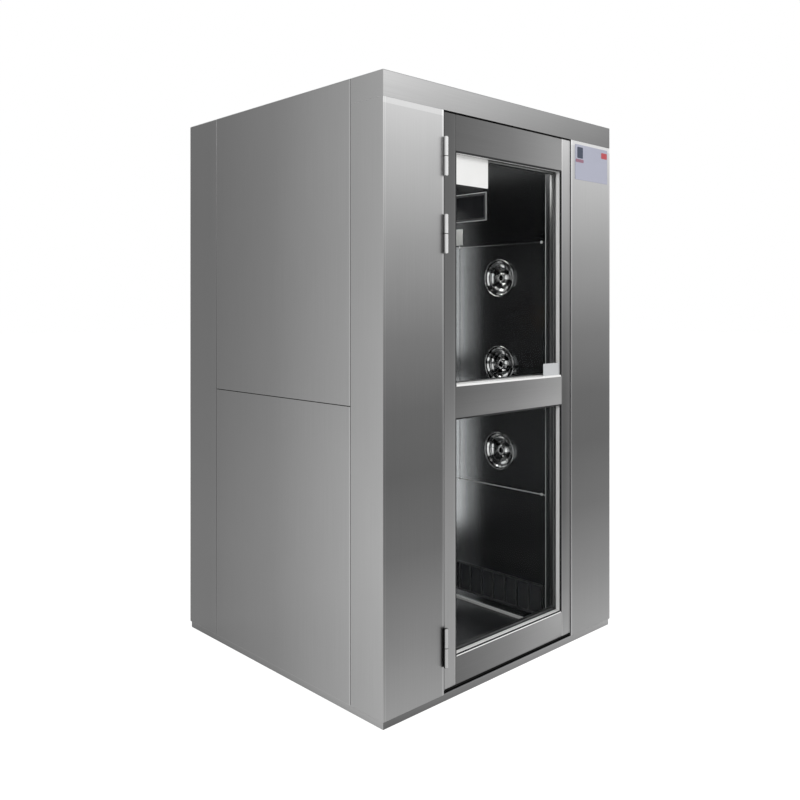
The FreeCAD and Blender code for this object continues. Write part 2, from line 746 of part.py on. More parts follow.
def door_glazing(end_word, turned):
    """Two panes against the rebate, a bead in front of each and a rubber gasket in front of the bead."""
    panes = []
    for place_word, outline in zip(("lower", "upper"), pane_openings("Sizes.glass_play")):
        body = body_at(f"{end_word}_pane_{place_word}", y=f"-({glass_front} - Sizes.glass_thickness)",
                       turned=turned)
        plan = sketch(body, f"{end_word}_pane_{place_word}_plan", "XZ_Plane", [outline])
        pad(body, f"{end_word}_pane_{place_word}_sheet", plan, "Sizes.glass_thickness")
        panes.append(body)
    group(f"{end_word}_door_glass", panes)
    bead_front = f"({leaf_front} - Sizes.gasket_depth)"
    beads = ring_set("bead", end_word, turned, bead_front, "(Sizes.glass_setback - Sizes.gasket_depth)",
                     "0", "Sizes.bead_width")
    group(f"{end_word}_glazing_beads", beads)
    gaskets = ring_set("gasket", end_word, turned, leaf_front, "Sizes.gasket_depth", "0",
                       "Sizes.gasket_width")
    side = f"({leaf_half} - Sizes.seal_inset)"
    inner_side = f"({side} - Sizes.seal_width)"
    seal_low = "Sizes.leaf_bottom + Sizes.seal_inset"
    seal_high = f"{leaf_top} - Sizes.seal_inset"
    seal_name = f"{end_word}_leaf_seal"
    seal = body_at(seal_name, y=f"-({leaf_back} - Sizes.seal_thickness)", turned=turned)
    outer = rectangle(f"-{side}", seal_low, side, seal_high)
    inner = rectangle(f"-{inner_side}", f"{seal_low} + Sizes.seal_width",
                      inner_side, f"{seal_high} - Sizes.seal_width")
    pad(seal, seal_name + "_ring", sketch(seal, seal_name + "_plan", "XZ_Plane", [outer, inner]),
        "Sizes.seal_thickness")
    group(f"{end_word}_door_rubbers", gaskets + [seal])


def hinges(end_word, turned):
    """Lift-off hinges: the frame half holds the pin, the door half drops over it."""
    frame_halves = []
    door_halves = []
    axis_x = f"-{hinge_x}"
    axis_y = f"-{hinge_y}"
    leaf_reach = f"-({hinge_y} - Sizes.hinge_reach)"
    half_height = "Sizes.hinge_height / 2"
    for place_word in ("bottom", "second", "top"):
        tag = f"{end_word}_hinge_{place_word}"
        middle = f"Sizes.hinge_{place_word}"
        low = f"({middle} - {half_height})"
        split = f"({middle} - Sizes.hinge_split)"
        high = f"({middle} + {half_height})"
        knuckle = prism(tag + "_frame_knuckle", (axis_x, axis_y, low), "Sizes.hinge_radius",
                        f"{split} - {low}", turned)
        pin = cylinder(tag + "_pin", (axis_x, axis_y, low), "Sizes.hinge_pin_radius",
                       f"{half_height} + Sizes.hinge_pin_length", turned)
        plate = box(tag + "_frame_plate", (f"-{wall_x}", axis_y, low),
                    (f"-{wall_x} + Sizes.hinge_leaf", leaf_reach, split), turned)
        frame_halves.append(joined(tag + "_frame_half", [knuckle, pin, plate]))
        sleeve = prism(tag + "_door_knuckle", (axis_x, axis_y, middle), "Sizes.hinge_radius",
                       half_height, turned)
        wing = box(tag + "_door_plate", (f"-{leaf_half} - Sizes.hinge_leaf", axis_y, middle),
                   (f"-{leaf_half}", leaf_reach, high), turned)
        bore = cylinder(tag + "_bore", (axis_x, axis_y, middle),
                        "Sizes.hinge_pin_radius + Sizes.hinge_pin_play",
                        "Sizes.hinge_pin_length + 4 * Sizes.hinge_split", turned)
        door_halves.append(cut(tag + "_door_half", joined(tag + "_door_blank", [sleeve, wing]), bore))
    group(f"{end_word}_hinge_door_leaves", door_halves)
    return frame_halves


def locks():
    """Electric bolt locks behind the lock-side jambs: a case for each door and its sliding bolt."""
    cases = []
    for end_word, turned in (("front", False), ("rear", True)):
        lock_y = f"-({leaf_front} - Sizes.lock_setback)"
        half_bolt = "Sizes.bolt_thickness / 2"
        half_tall = "Sizes.bolt_height / 2"
        near = f"{wall_x} + Sizes.skin"
        case = box(f"{end_word}_lock_block",
                   (near, f"{lock_y} - ({half_bolt} + Sizes.lock_wall)",
                    f"Sizes.lock_height - ({half_tall} + Sizes.lock_wall)"),
                   (f"{wall_x} + Sizes.bolt_length + Sizes.lock_wall",
                    f"{lock_y} + {half_bolt} + Sizes.lock_wall",
                    f"Sizes.lock_height + {half_tall} + Sizes.lock_wall"), turned)
        guide = box(f"{end_word}_lock_guide",
                    (near, f"{lock_y} - ({half_bolt} + Sizes.bolt_play)",
                     f"Sizes.lock_height - ({half_tall} + Sizes.bolt_play)"),
                    (f"{wall_x} + Sizes.bolt_length + Sizes.bolt_play",
                     f"{lock_y} + {half_bolt} + Sizes.bolt_play",
                     f"Sizes.lock_height + {half_tall} + Sizes.bolt_play"), turned)
        cases.append(cut(f"{end_word}_lock_case", case, guide))
        bolt = box(f"{end_word}_bolt",
                   (wall_x, f"{lock_y} - {half_bolt}", f"Sizes.lock_height - {half_tall}"),
                   (f"{wall_x} + Sizes.bolt_length", f"{lock_y} + {half_bolt}",
                    f"Sizes.lock_height + {half_tall}"), turned)
        keep(f"{end_word}_lock_bolt", bolt)
    group("lock_cases", cases)


def air_handling():
    """Plenum, filter, blower stand, volute, motor and pre-filter in each side column."""
    plenums = []
    filters = []
    prefilters = []
    stands = []
    housings = []
    motors = []
    for side, word in ((-1, "left"), (1, "right")):
        plenums.append(plenum(word, side))
        filters.append(air_filter(word, side))
        reach = f"({jamb_end} - Sizes.grille_end_margin)"
        near = f"{wall_x} + Sizes.wall_sheet"
        far = f"{near} + Sizes.prefilter_thickness"
        prefilters.append(mirrored_box(f"{word}_prefilter", side, near, far, f"-{reach}", reach,
                                       "Sizes.grille_low", "Sizes.grille_high"))
        stands.append(blower_stand(word, side))
        housings.append(volute(word, side))
        motors.append(motor(word, side))
    group("plenum_boxes", plenums)
    group("hepa_filters", filters)
    group("prefilters", prefilters)
    group("blower_stands", stands)
    group("blower_housings", housings)
    group("blower_motors", motors)


def mirrored_box(name, side, near, far, low_y, high_y, low_z, high_z):
    """Cuboid given by distances from the middle plane, on the left or right side."""
    if side > 0:
        return box(name, (near, low_y, low_z), (far, high_y, high_z))
    return box(name, (f"-({far})", low_y, low_z), (f"-({near})", high_y, high_z))


def plenum(word, side):
    """Sheet box on the flanges of the nozzle panels, open to them, with a window for the filter."""
    body = body_at(f"{word}_plenum", x=f"{side} * {flange_x}")
    low = (f"-{jamb_end}", "Sizes.wall_low_joint")
    high = (jamb_end, "Sizes.wall_high_joint")
    outline = sketch(body, f"{word}_plenum_outline", "YZ_Plane", [rectangle(*low, *high)])
    pad(body, f"{word}_plenum_block", outline, "Sizes.plenum_depth", reverse=side < 0)
    inner_low = [f"{edge} + Sizes.panel_sheet" for edge in low]
    inner_high = [f"{edge} - Sizes.panel_sheet" for edge in high]
    hollow = sketch(body, f"{word}_plenum_inside", "YZ_Plane", [rectangle(*inner_low, *inner_high)])
    pocket(body, f"{word}_plenum_hollow", hollow, "Sizes.plenum_depth - Sizes.panel_sheet",
           reverse=side > 0)
    half_window = "(Sizes.filter_side / 2 - Sizes.filter_rim)"
    middle = "((Sizes.wall_low_joint + Sizes.wall_high_joint) / 2)"
    window = sketch(body, f"{word}_plenum_window", "YZ_Plane",
                    [rectangle(f"-{half_window}", f"{middle} - {half_window}",
                               half_window, f"{middle} + {half_window}")])
    pocket(body, f"{word}_plenum_window_cut", window, "Sizes.plenum_depth", reverse=side > 0)
    return body


def air_filter(word, side):
    """High-efficiency filter: a rim with the pleat pack set back on both faces."""
    body = body_at(f"{word}_filter", x=f"{side} * {plenum_back}")
    half_side = "Sizes.filter_side / 2"
    half_pack = f"({half_side} - Sizes.filter_rim)"
    middle = "((Sizes.wall_low_joint + Sizes.wall_high_joint) / 2)"
    outline = sketch(body, f"{word}_filter_outline", "YZ_Plane",
                     [rectangle(f"-({half_side})", f"{middle} - {half_side}",
                                half_side, f"{middle} + {half_side}")])
    pad(body, f"{word}_filter_block", outline, "Sizes.filter_depth", reverse=side < 0)
    pack = rectangle(f"-{half_pack}", f"{middle} - {half_pack}", half_pack, f"{middle} + {half_pack}")
    clean_side = sketch(body, f"{word}_filter_clean_face", "YZ_Plane", [pack])
    pocket(body, f"{word}_filter_clean_recess", clean_side, "Sizes.filter_recess", reverse=side > 0)
    dirty_side = sketch(body, f"{word}_filter_dirty_face", "YZ_Plane", [pack],
                        offset=f"{side} * Sizes.filter_depth")
    pocket(body, f"{word}_filter_dirty_recess", dirty_side, "Sizes.filter_recess", reverse=side < 0)
    return body


def blower_stand(word, side):
    """Bent sheet bridge that carries the blower; its feet stand on the bars of the plinth."""
    body = body_at(f"{word}_stand", y="Sizes.stand_length / 2")
    near = f"({wall_x} + Sizes.plinth_bar - 2 * Sizes.stand_sheet)"
    far = f"({half_width} - Sizes.panel_flange - Sizes.seam)"
    bridge = [
        (near, "Sizes.plinth_height"),
        (near, "Sizes.stand_height"),
        (far, "Sizes.stand_height"),
        (far, "Sizes.plinth_height"),
        (f"{far} - Sizes.stand_sheet", "Sizes.plinth_height"),
        (f"{far} - Sizes.stand_sheet", "Sizes.stand_height - Sizes.stand_sheet"),
        (f"{near} + Sizes.stand_sheet", "Sizes.stand_height - Sizes.stand_sheet"),
        (f"{near} + Sizes.stand_sheet", "Sizes.plinth_height"),
    ]
    section = sketch(body, f"{word}_stand_section", "XZ_Plane",
                     [[(f"{side} * ({x})", z) for x, z in bridge]])
    pad(body, f"{word}_stand_bridge", section, "Sizes.stand_length")
    return body


def volute_outline():
    """Volute of three quarter arcs, each centred on a corner of a small square, and an upright outlet."""
    growth = value("Sizes.volute_growth")
    radius = value("Sizes.volute_radius")
    top = radius + value("Sizes.volute_neck")
    half = growth / 2
    edges = []
    corners = []
    for step, (y, z) in enumerate(((half, -half), (-half, -half), (-half, half))):
        reach = radius + step * growth
        turns = [math.pi / 2 * (1 - step - part / 2) for part in range(3)]
        points = [FreeCAD.Vector(0, y + reach * math.cos(turn), z + reach * math.sin(turn))
                  for turn in turns]
        edges.append(Part.Arc(*points).toShape())
        corners += [points[0], points[2]]
    mouth = [FreeCAD.Vector(0, corners[-1].y, top), FreeCAD.Vector(0, corners[0].y, top)]
    outlet = [corners[-1], *mouth, corners[0]]
    edges += [Part.makeLine(start, end) for start, end in zip(outlet, outlet[1:])]
    return Part.Face(Part.Wire(edges))


def volute(word, side):
    """Blower housing: a sheet volute open at the outlet, with an inlet ring and a shaft hole."""
    skin = value("Sizes.volute_sheet")
    width = value("Sizes.volute_width")
    outline = volute_outline()
    outside = outline.extrude(FreeCAD.Vector(width, 0, 0))
    inside = outline.makeOffset2D(-skin).extrude(FreeCAD.Vector(width - 2 * skin, 0, 0))
    inside.translate(FreeCAD.Vector(skin, 0, 0))
    room = inside.BoundBox
    outlet_corner = FreeCAD.Vector(skin, room.YMin, room.ZMax - skin)
    outlet_length = value("Sizes.volute_growth / 2") - skin - room.YMin
    outlet = Part.makeBox(room.XLength, outlet_length, 2 * skin, outlet_corner)
    inlet = bar_with_flats(0, value("Sizes.volute_inlet"), skin)
    shaft_hole = bar_with_flats(width - skin, value("Sizes.shaft_radius + Sizes.shaft_hole_play"), skin)
    housing = outside.cut(inside).cut(outlet).cut(inlet).cut(shaft_hole)
    near = side * value(volute_near)
    return turned_feature(f"{word}_volute", housing, near, "0", blower_height, side < 0)


def motor(word, side):
    """Flange motor on the outer face of the volute, with a blind bore for the shaft of the impeller."""
    length = value("Sizes.motor_length")
    case = bar_with_flats(0, value("Sizes.motor_radius"), length)
    bore = Part.makeCylinder(value("Sizes.shaft_radius + Sizes.shaft_play"), value("Sizes.shaft_seat") + 1,
                             FreeCAD.Vector(0, 0, 0), FreeCAD.Vector(1, 0, 0))
    blank = case.cut(bore)
    near = side * value(volute_far)
    return turned_feature(f"{word}_motor", blank, near, "0", blower_height, side < 0)


def impeller(word, side):
    """Impeller with its shaft: an eight-sided back plate, a hub and a leaning blade at each corner."""
    name = f"{word}_impeller"
    plate_x = f"({volute_far} - 2 * Sizes.volute_sheet)"
    body = body_at(name, x=f"{side} * {plate_x}", z=blower_height)
    inward = side > 0
    plate = sketch(body, name + "_plate_outline", "YZ_Plane",
                   [regular_outline("0", "0", "Sizes.impeller_radius", BLADES)])
    pad(body, name + "_plate", plate, "Sizes.impeller_plate", reverse=inward)
    hub = sketch(body, name + "_hub_outline", "YZ_Plane", [regular_outline("0", "0", "Sizes.impeller_hub")])
    pad(body, name + "_hub", hub, "Sizes.impeller_hub_length", reverse=inward)
    blade_low = "(Sizes.impeller_radius - Sizes.blade_height)"
    blade_high = "(Sizes.impeller_radius - 2 * Sizes.blade_sheet)"
    lean = f"(({blade_high} - {blade_low}) * tan(Sizes.blade_angle))"
    blade = [
        (blade_low, f"0 - {lean}"),
        (blade_high, "0"),
        (blade_high, "Sizes.blade_sheet"),
        (blade_low, f"Sizes.blade_sheet - {lean}"),
    ]
    section = sketch(body, name + "_blade_section", "YZ_Plane", [blade])
    first = pad(body, name + "_blade", section, "Sizes.impeller_width", reverse=inward)
    ring = body.newObject("PartDesign::PolarPattern", name + "_blades")
    ring.Originals = [first]
    ring.Axis = (section, ["N_Axis"])
    ring.Angle = 360
    ring.Occurrences = BLADES
    body.Tip = ring
    shaft = sketch(body, name + "_shaft_circle", "YZ_Plane", [], circles=[("0", "0", "Sizes.shaft_radius")])
    pad(body, name + "_shaft", shaft, "2 * Sizes.volute_sheet + Sizes.shaft_seat", reverse=not inward)
    keep(name, body)


def control_box():
    half_length = "Sizes.control_length / 2"
    low = f"{header_low} + Sizes.ceiling_sheet"
    item = box("control_case", (f"-({half_length})", f"{jamb_end} - Sizes.control_depth", low),
               (half_length, jamb_end, f"{low} + Sizes.control_height"))
    keep("control_box", item)


def display():
    """Framed display on the right inner wall: a raised frame with a dark window set in."""
    body = body_at("display_bezel", x=wall_x)
    half_length = "Sizes.display_length / 2"
    half_tall = "Sizes.display_tall / 2"
    height = f"({header_low} - Sizes.display_drop)"
    outer = rectangle(f"Sizes.display_centre - {half_length}", f"{height} - {half_tall}",
                      f"Sizes.display_centre + {half_length}", f"{height} + {half_tall}")
    inner = rectangle(f"Sizes.display_centre - {half_length} + Sizes.display_frame",
                      f"{height} - {half_tall} + Sizes.display_frame",
                      f"Sizes.display_centre + {half_length} - Sizes.display_frame",
                      f"{height} + {half_tall} - Sizes.display_frame")
    plan = sketch(body, "display_frame_plan", "YZ_Plane", [outer, inner])
    pad(body, "display_frame_ring", plan, "Sizes.display_depth", reverse=True)
    keep("display_bezel", body)
    window = body_at("display_window", x=wall_x)
    glass = sketch(window, "display_window_plan", "YZ_Plane", [inner])
    pad(window, "display_window_sheet", glass, "Sizes.display_depth / 2", reverse=True)
    keep("display_window", window)


def emergency_stop():
    """Emergency stop on the left inner wall: a square base with a guide, and the cap on its square stem."""
    y = "Sizes.stop_button_offset"
    z = "Sizes.stop_button_height"
    half = "Sizes.stop_base_side / 2"
    face = f"(0 - {wall_x} + Sizes.stop_base_depth)"
    block = box("stop_base_block", (f"-{wall_x}", f"{y} - {half}", f"{z} - {half}"),
                (face, f"{y} + {half}", f"{z} + {half}"))
    stem = "Sizes.stop_stem_side / 2"
    play = f"({stem} + Sizes.stop_stem_play)"
    guide = box("stop_base_guide", (f"-{wall_x}", f"{y} - {play}", f"{z} - {play}"),
                (face, f"{y} + {play}", f"{z} + {play}"))
    keep("emergency_stop_base", cut("stop_base", block, guide))
    lift = "(Sizes.stop_travel + Sizes.stop_rest)"
    cap = prism_x("stop_cap", (f"{face} + {lift}", y, z), "Sizes.stop_cap_radius", "Sizes.stop_cap_height")
    bar = box("stop_stem", (f"{lift} - {wall_x}", f"{y} - {stem}", f"{z} - {stem}"),
              (f"{face} + {lift} + Sizes.stop_cap_height / 2", f"{y} + {stem}", f"{z} + {stem}"))
    keep("emergency_stop_button", joined("stop_button", [cap, bar]))


def photo_sensors():
    """Pair of infrared eyes that face each other across the cabin."""
    eyes = []
    for side, word in ((-1, "left"), (1, "right")):
        near = f"({wall_x} - Sizes.sensor_proud)" if side > 0 else f"(0 - {wall_x})"
        eyes.append(prism_x(f"{word}_eye", (near, "Sizes.sensor_offset", "Sizes.sensor_height"),
                            "Sizes.sensor_radius", "Sizes.sensor_proud"))
    group("photo_sensors", eyes)


def check_and_write():
    doc.recompute()
    for item in doc.Objects:
        if "Invalid" in item.State or "Error" in item.State:
            raise RuntimeError(f"{item.Name} failed: {item.State}")
    os.makedirs("parts", exist_ok=True)
    for name, item in subparts.items():
        if item.Shape.isNull() or not item.Shape.isValid():
            raise RuntimeError(f"{name} has no valid shape")
    for name, item in subparts.items():
        item.Shape.exportStep(f"parts/{name}.step")
        print(name, len(item.Shape.Solids), round(item.Shape.Volume))


base_frame()
floor_plate()
post("front_left_post", -1, -1, front_seam, header_low, has_lock=False)
post("front_right_post", 1, -1, front_seam, header_low, has_lock=True)
post("rear_left_post", -1, 1, rear_seam, roof_low, has_lock=True)
post("rear_right_post", 1, 1, rear_seam, roof_low, has_lock=False)
front_header()
rear_header()
side_panels()
roof_panel()
ceiling_and_lamp()
inner_walls()
return_grilles()
nozzle_bezels()
nozzle_balls()
hinge_frame_halves = []
for end_word, turned in (("front", False), ("rear", True)):
    door_leaf(end_word, turned)
    door_glazing(end_word, turned)
    hinge_frame_halves += hinges(end_word, turned)
group("hinge_frame_leaves", hinge_frame_halves)
locks()
air_handling()
impeller("left", -1)
impeller("right", 1)
control_box()
display()
emergency_stop()
photo_sensors()
check_and_write()
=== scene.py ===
"""Finishes the air shower's CAD frame for the picture: doors, hinges, nozzles, trim, steel and studio."""

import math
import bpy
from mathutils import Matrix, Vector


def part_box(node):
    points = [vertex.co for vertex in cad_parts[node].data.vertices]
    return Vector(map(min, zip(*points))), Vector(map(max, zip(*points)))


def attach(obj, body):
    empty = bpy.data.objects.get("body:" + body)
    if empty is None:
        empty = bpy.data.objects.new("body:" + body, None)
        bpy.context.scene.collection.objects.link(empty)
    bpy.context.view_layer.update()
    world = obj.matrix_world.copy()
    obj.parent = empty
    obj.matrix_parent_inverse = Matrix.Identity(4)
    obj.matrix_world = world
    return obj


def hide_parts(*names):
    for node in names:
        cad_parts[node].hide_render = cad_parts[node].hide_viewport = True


bl_info = {
    "name": "Air Shower Finish",
    "version": (1, 0, 0),
    "blender": (4, 5, 0),
    "location": "View3D > Sidebar > Air Shower",
    "description": "Dresses the air shower's frame with its visible pieces, finishes and studio",
    "category": "Object",
}

import bmesh
import bpy
from bpy.props import FloatProperty, FloatVectorProperty, IntProperty, PointerProperty
from mathutils import Matrix, Vector

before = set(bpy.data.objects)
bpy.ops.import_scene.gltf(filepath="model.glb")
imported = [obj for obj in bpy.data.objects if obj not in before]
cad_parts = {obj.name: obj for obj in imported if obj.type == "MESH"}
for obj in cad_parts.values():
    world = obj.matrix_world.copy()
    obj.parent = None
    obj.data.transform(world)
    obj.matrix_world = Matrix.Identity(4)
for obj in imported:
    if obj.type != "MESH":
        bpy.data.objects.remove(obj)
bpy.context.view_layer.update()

# Places taken from the frame
LEAF_LOW, LEAF_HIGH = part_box("front_door_frame")
GLASS_LOW, GLASS_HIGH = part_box("front_door_glass")
BEAD_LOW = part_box("front_glazing_beads")[0]
HEADER_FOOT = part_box("front_header")[0].z
BASE_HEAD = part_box("base_frame")[1].z
BOLT_LOW, BOLT_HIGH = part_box("front_lock_bolt")
PANEL_DEPTH = 0.02
WALL_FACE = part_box("nozzle_panels")[1].x - PANEL_DEPTH

# Cabinet: its outside, half its doorway's width, the floor's top and the threshold's inner edge, in metres
HALF_WIDTH = 0.65
HALF_DEPTH = 0.60
HEIGHT = 2.1
JAMB = 0.371
FLOOR_FACE = 0.028
THRESHOLD_BACK = -0.5455

# Door: inner edge of a stile from the middle, and foot and head of each pane
STILE_INNER = 0.310
PANES = ((0.138, 0.960), (1.070, 1.884))

# Hinges: pin's X and Y, heights, half a hinge's length, half the washer's gap, and the leaves' front and back
HINGE_AXIS = (-0.368, -0.6085)
HINGE_CENTRES = (0.187, 1.593, 1.857)
HINGE_REACH = 0.067
HINGE_GAP = 0.001
HINGE_LEAF = (-0.6035, -0.5705)
KNUCKLE_RADIUS = 0.008

# Inner walls: half their length, heights of the panels' joints, stop button's Y and Z, and the nozzles
WALL_END = 0.4745
PANEL_JOINTS = (0.570, 1.612)
STOP_CENTRE = (0.060, 1.290)
NOZZLE_COLUMN = 0.2375
NOZZLE_ROWS = (0.725, 1.097, 1.469)
RIM_RADIUS = 0.080
BALL_CENTRE = 0.403

QUARTER = math.pi / 2
ENDS = (("front", Matrix.Identity(4)), ("rear", Matrix.Rotation(math.pi, 4, "Z")))

# Tones of the left side from front to rear, with a painted reflection, turned round on the right, and the
# height where the painted upright tones end
SIDE_REFLECTION_TONES = [(0.0, 0.36), (0.14, 0.315), (0.5, 0.20), (0.87, 0.138), (1.0, 0.132)]
TONE_HEAD = 2.0

# Stretch of the brushing along each axis
UPRIGHT = (420.0, 420.0, 2.5)
LEVEL = (2.5, 420.0, 420.0)
INWARD = (420.0, 2.5, 420.0)


# Settings a user would change
class AirShowerTrim(bpy.types.PropertyGroup):
    """Sizes of the edges and small trim that the finish adds."""

    sheet_edge: FloatProperty(
        name="Sheet edge radius", description="Radius of the folded edges of the steel sheets",
        default=0.0015, min=0.0002, max=0.004, unit="LENGTH")
    member_edge: FloatProperty(
        name="Member edge radius", description="Radius along the edges of the door's stiles and rails",
        default=0.0012, min=0.0002, max=0.003, unit="LENGTH")
    joint_gap: FloatProperty(
        name="Door joint gap", description="Width of the butt joint between a rail and its stile",
        default=0.0006, min=0.0, max=0.002, unit="LENGTH")
    screw_radius: FloatProperty(
        name="Screw head radius", description="Radius of the screw heads on the inner walls",
        default=0.0065, min=0.002, max=0.008, unit="LENGTH")
    turned_steps: IntProperty(
        name="Turned steps", description="Faces round each turned piece, such as a nozzle's bezel",
        default=64, min=24, max=128)


class AirShowerLook(bpy.types.PropertyGroup):
    """Colours and gloss of the finishes."""

    steel_roughness: FloatProperty(
        name="Steel roughness", description="How far the brushed steel spreads its reflections",
        default=0.34, min=0.1, max=0.7, subtype="FACTOR")
    inner_steel: FloatVectorProperty(
        name="Inner steel", description="Tone of the satin steel that lines the cabin",
        default=(0.125, 0.127, 0.13), min=0.0, max=1.0, subtype="COLOR")
    glass_tint: FloatVectorProperty(
        name="Glass tint", description="What one face of a door pane lets through",
        default=(0.92, 0.925, 0.923), min=0.0, max=1.0, subtype="COLOR")
    bead: FloatVectorProperty(
        name="Glazing bead", description="Colour of the white glazing beads",
        default=(0.86, 0.86, 0.85), min=0.0, max=1.0, subtype="COLOR")
    plate: FloatVectorProperty(
        name="Sign plate", description="Colour of the bare plate on the right post",
        default=(0.37, 0.38, 0.46), min=0.0, max=1.0, subtype="COLOR")
    block: FloatVectorProperty(
        name="Sign block", description="Colour of the plain red block on that plate",
        default=(0.42, 0.05, 0.06), min=0.0, max=1.0, subtype="COLOR")
    backdrop: FloatVectorProperty(
        name="Backdrop", description="Colour of the studio behind and under the object",
        default=(1.0, 1.0, 1.0), min=0.0, max=1.0, subtype="COLOR")


# Shapes
def block(mesh, low, high):
    """A box between two corners, and its vertices."""
    made = bmesh.ops.create_cube(mesh, size=1.0)["verts"]
    low, high = Vector(low), Vector(high)
    bmesh.ops.scale(mesh, vec=high - low, verts=made)
    bmesh.ops.translate(mesh, vec=(low + high) / 2, verts=made)
    return made


def bevel(mesh, edges, radius, segments):
    """Rounds edges to a radius."""
    bmesh.ops.bevel(mesh, geom=edges, offset=radius, offset_type="OFFSET", segments=segments,
                    profile=0.5, affect="EDGES", clamp_overlap=True, material=-1)


def round_edges(mesh, radius, segments=2):
    """Rounds every edge whose faces meet at more than half a radian."""
    sharp = [e for e in mesh.edges if len(e.link_faces) == 2 and e.calc_face_angle(0) > 0.5]
    bevel(mesh, sharp, radius, segments)


def turned(mesh, profile, steps):
    """A shape turned about Z from its profile of (radius, height), and its vertices."""
    before = set(mesh.verts)
    line = [mesh.verts.new((radius, 0, height)) for radius, height in profile]
    edges = [mesh.edges.new(pair) for pair in zip(line, line[1:])]
    if profile[0][0] > 0 and profile[-1][0] > 0:
        edges.append(mesh.edges.new((line[-1], line[0])))
    bmesh.ops.spin(mesh, geom=line + edges, cent=(0, 0, 0), axis=(0, 0, 1),
                   angle=2 * math.pi, steps=steps, use_merge=True)
    made = [v for v in mesh.verts if v not in before]
    poles = [v for v in made if v.co.x ** 2 + v.co.y ** 2 < 1e-12]
    bmesh.ops.remove_doubles(mesh, verts=poles, dist=1e-6)
    return [v for v in made if v.is_valid]


def arc(centre, radius, first, last, count):
    """Points of a profile round a centre, from one angle to another, in degrees from the radius direction."""
    turns = [math.radians(first + (last - first) * i / count) for i in range(count + 1)]
    return [(centre[0] + radius * math.cos(a), centre[1] + radius * math.sin(a)) for a in turns]


def lay(mesh, verts, matrix):
    """Moves vertices to their place."""
    bmesh.ops.transform(mesh, matrix=matrix, verts=verts)


def linked(name, mesh, finish):
    """Makes an object of the mesh, with its finish."""
    data = bpy.data.meshes.new(name)
    mesh.to_mesh(data)
    mesh.free()
    data.materials.append(finish)
    made = bpy.data.objects.new(name, data)
    bpy.context.scene.collection.objects.link(made)
    return made


def piece(name, mesh, finish, body, replaced=()):
    """Makes a finished object of the mesh, on its body."""
    bmesh.ops.recalc_face_normals(mesh, faces=mesh.faces)
    made = linked(name, mesh, finish)
    for face in made.data.polygons:
        face.use_smooth = True
    made.data.set_sharp_from_angle(angle=math.radians(35))
    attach(made, body)
    if replaced:
        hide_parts(*replaced)


def dress(finish, *names, edge=0.0):
    """Gives CAD nodes their finish, and rounds their edges a little."""
    for name in names:
        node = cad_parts[name]
        if not node.material_slots:
            node.data.materials.append(finish)
        for place in node.material_slots:
            place.material = finish
        if edge:
            weld = node.modifiers.new("weld", "WELD")
            weld.merge_threshold = 0.00001
            rounding = node.modifiers.new("edge", "BEVEL")
            rounding.width = edge
            rounding.segments = 2
            rounding.limit_method = "ANGLE"
            rounding.angle_limit = math.radians(40)
            rounding.harden_normals = False


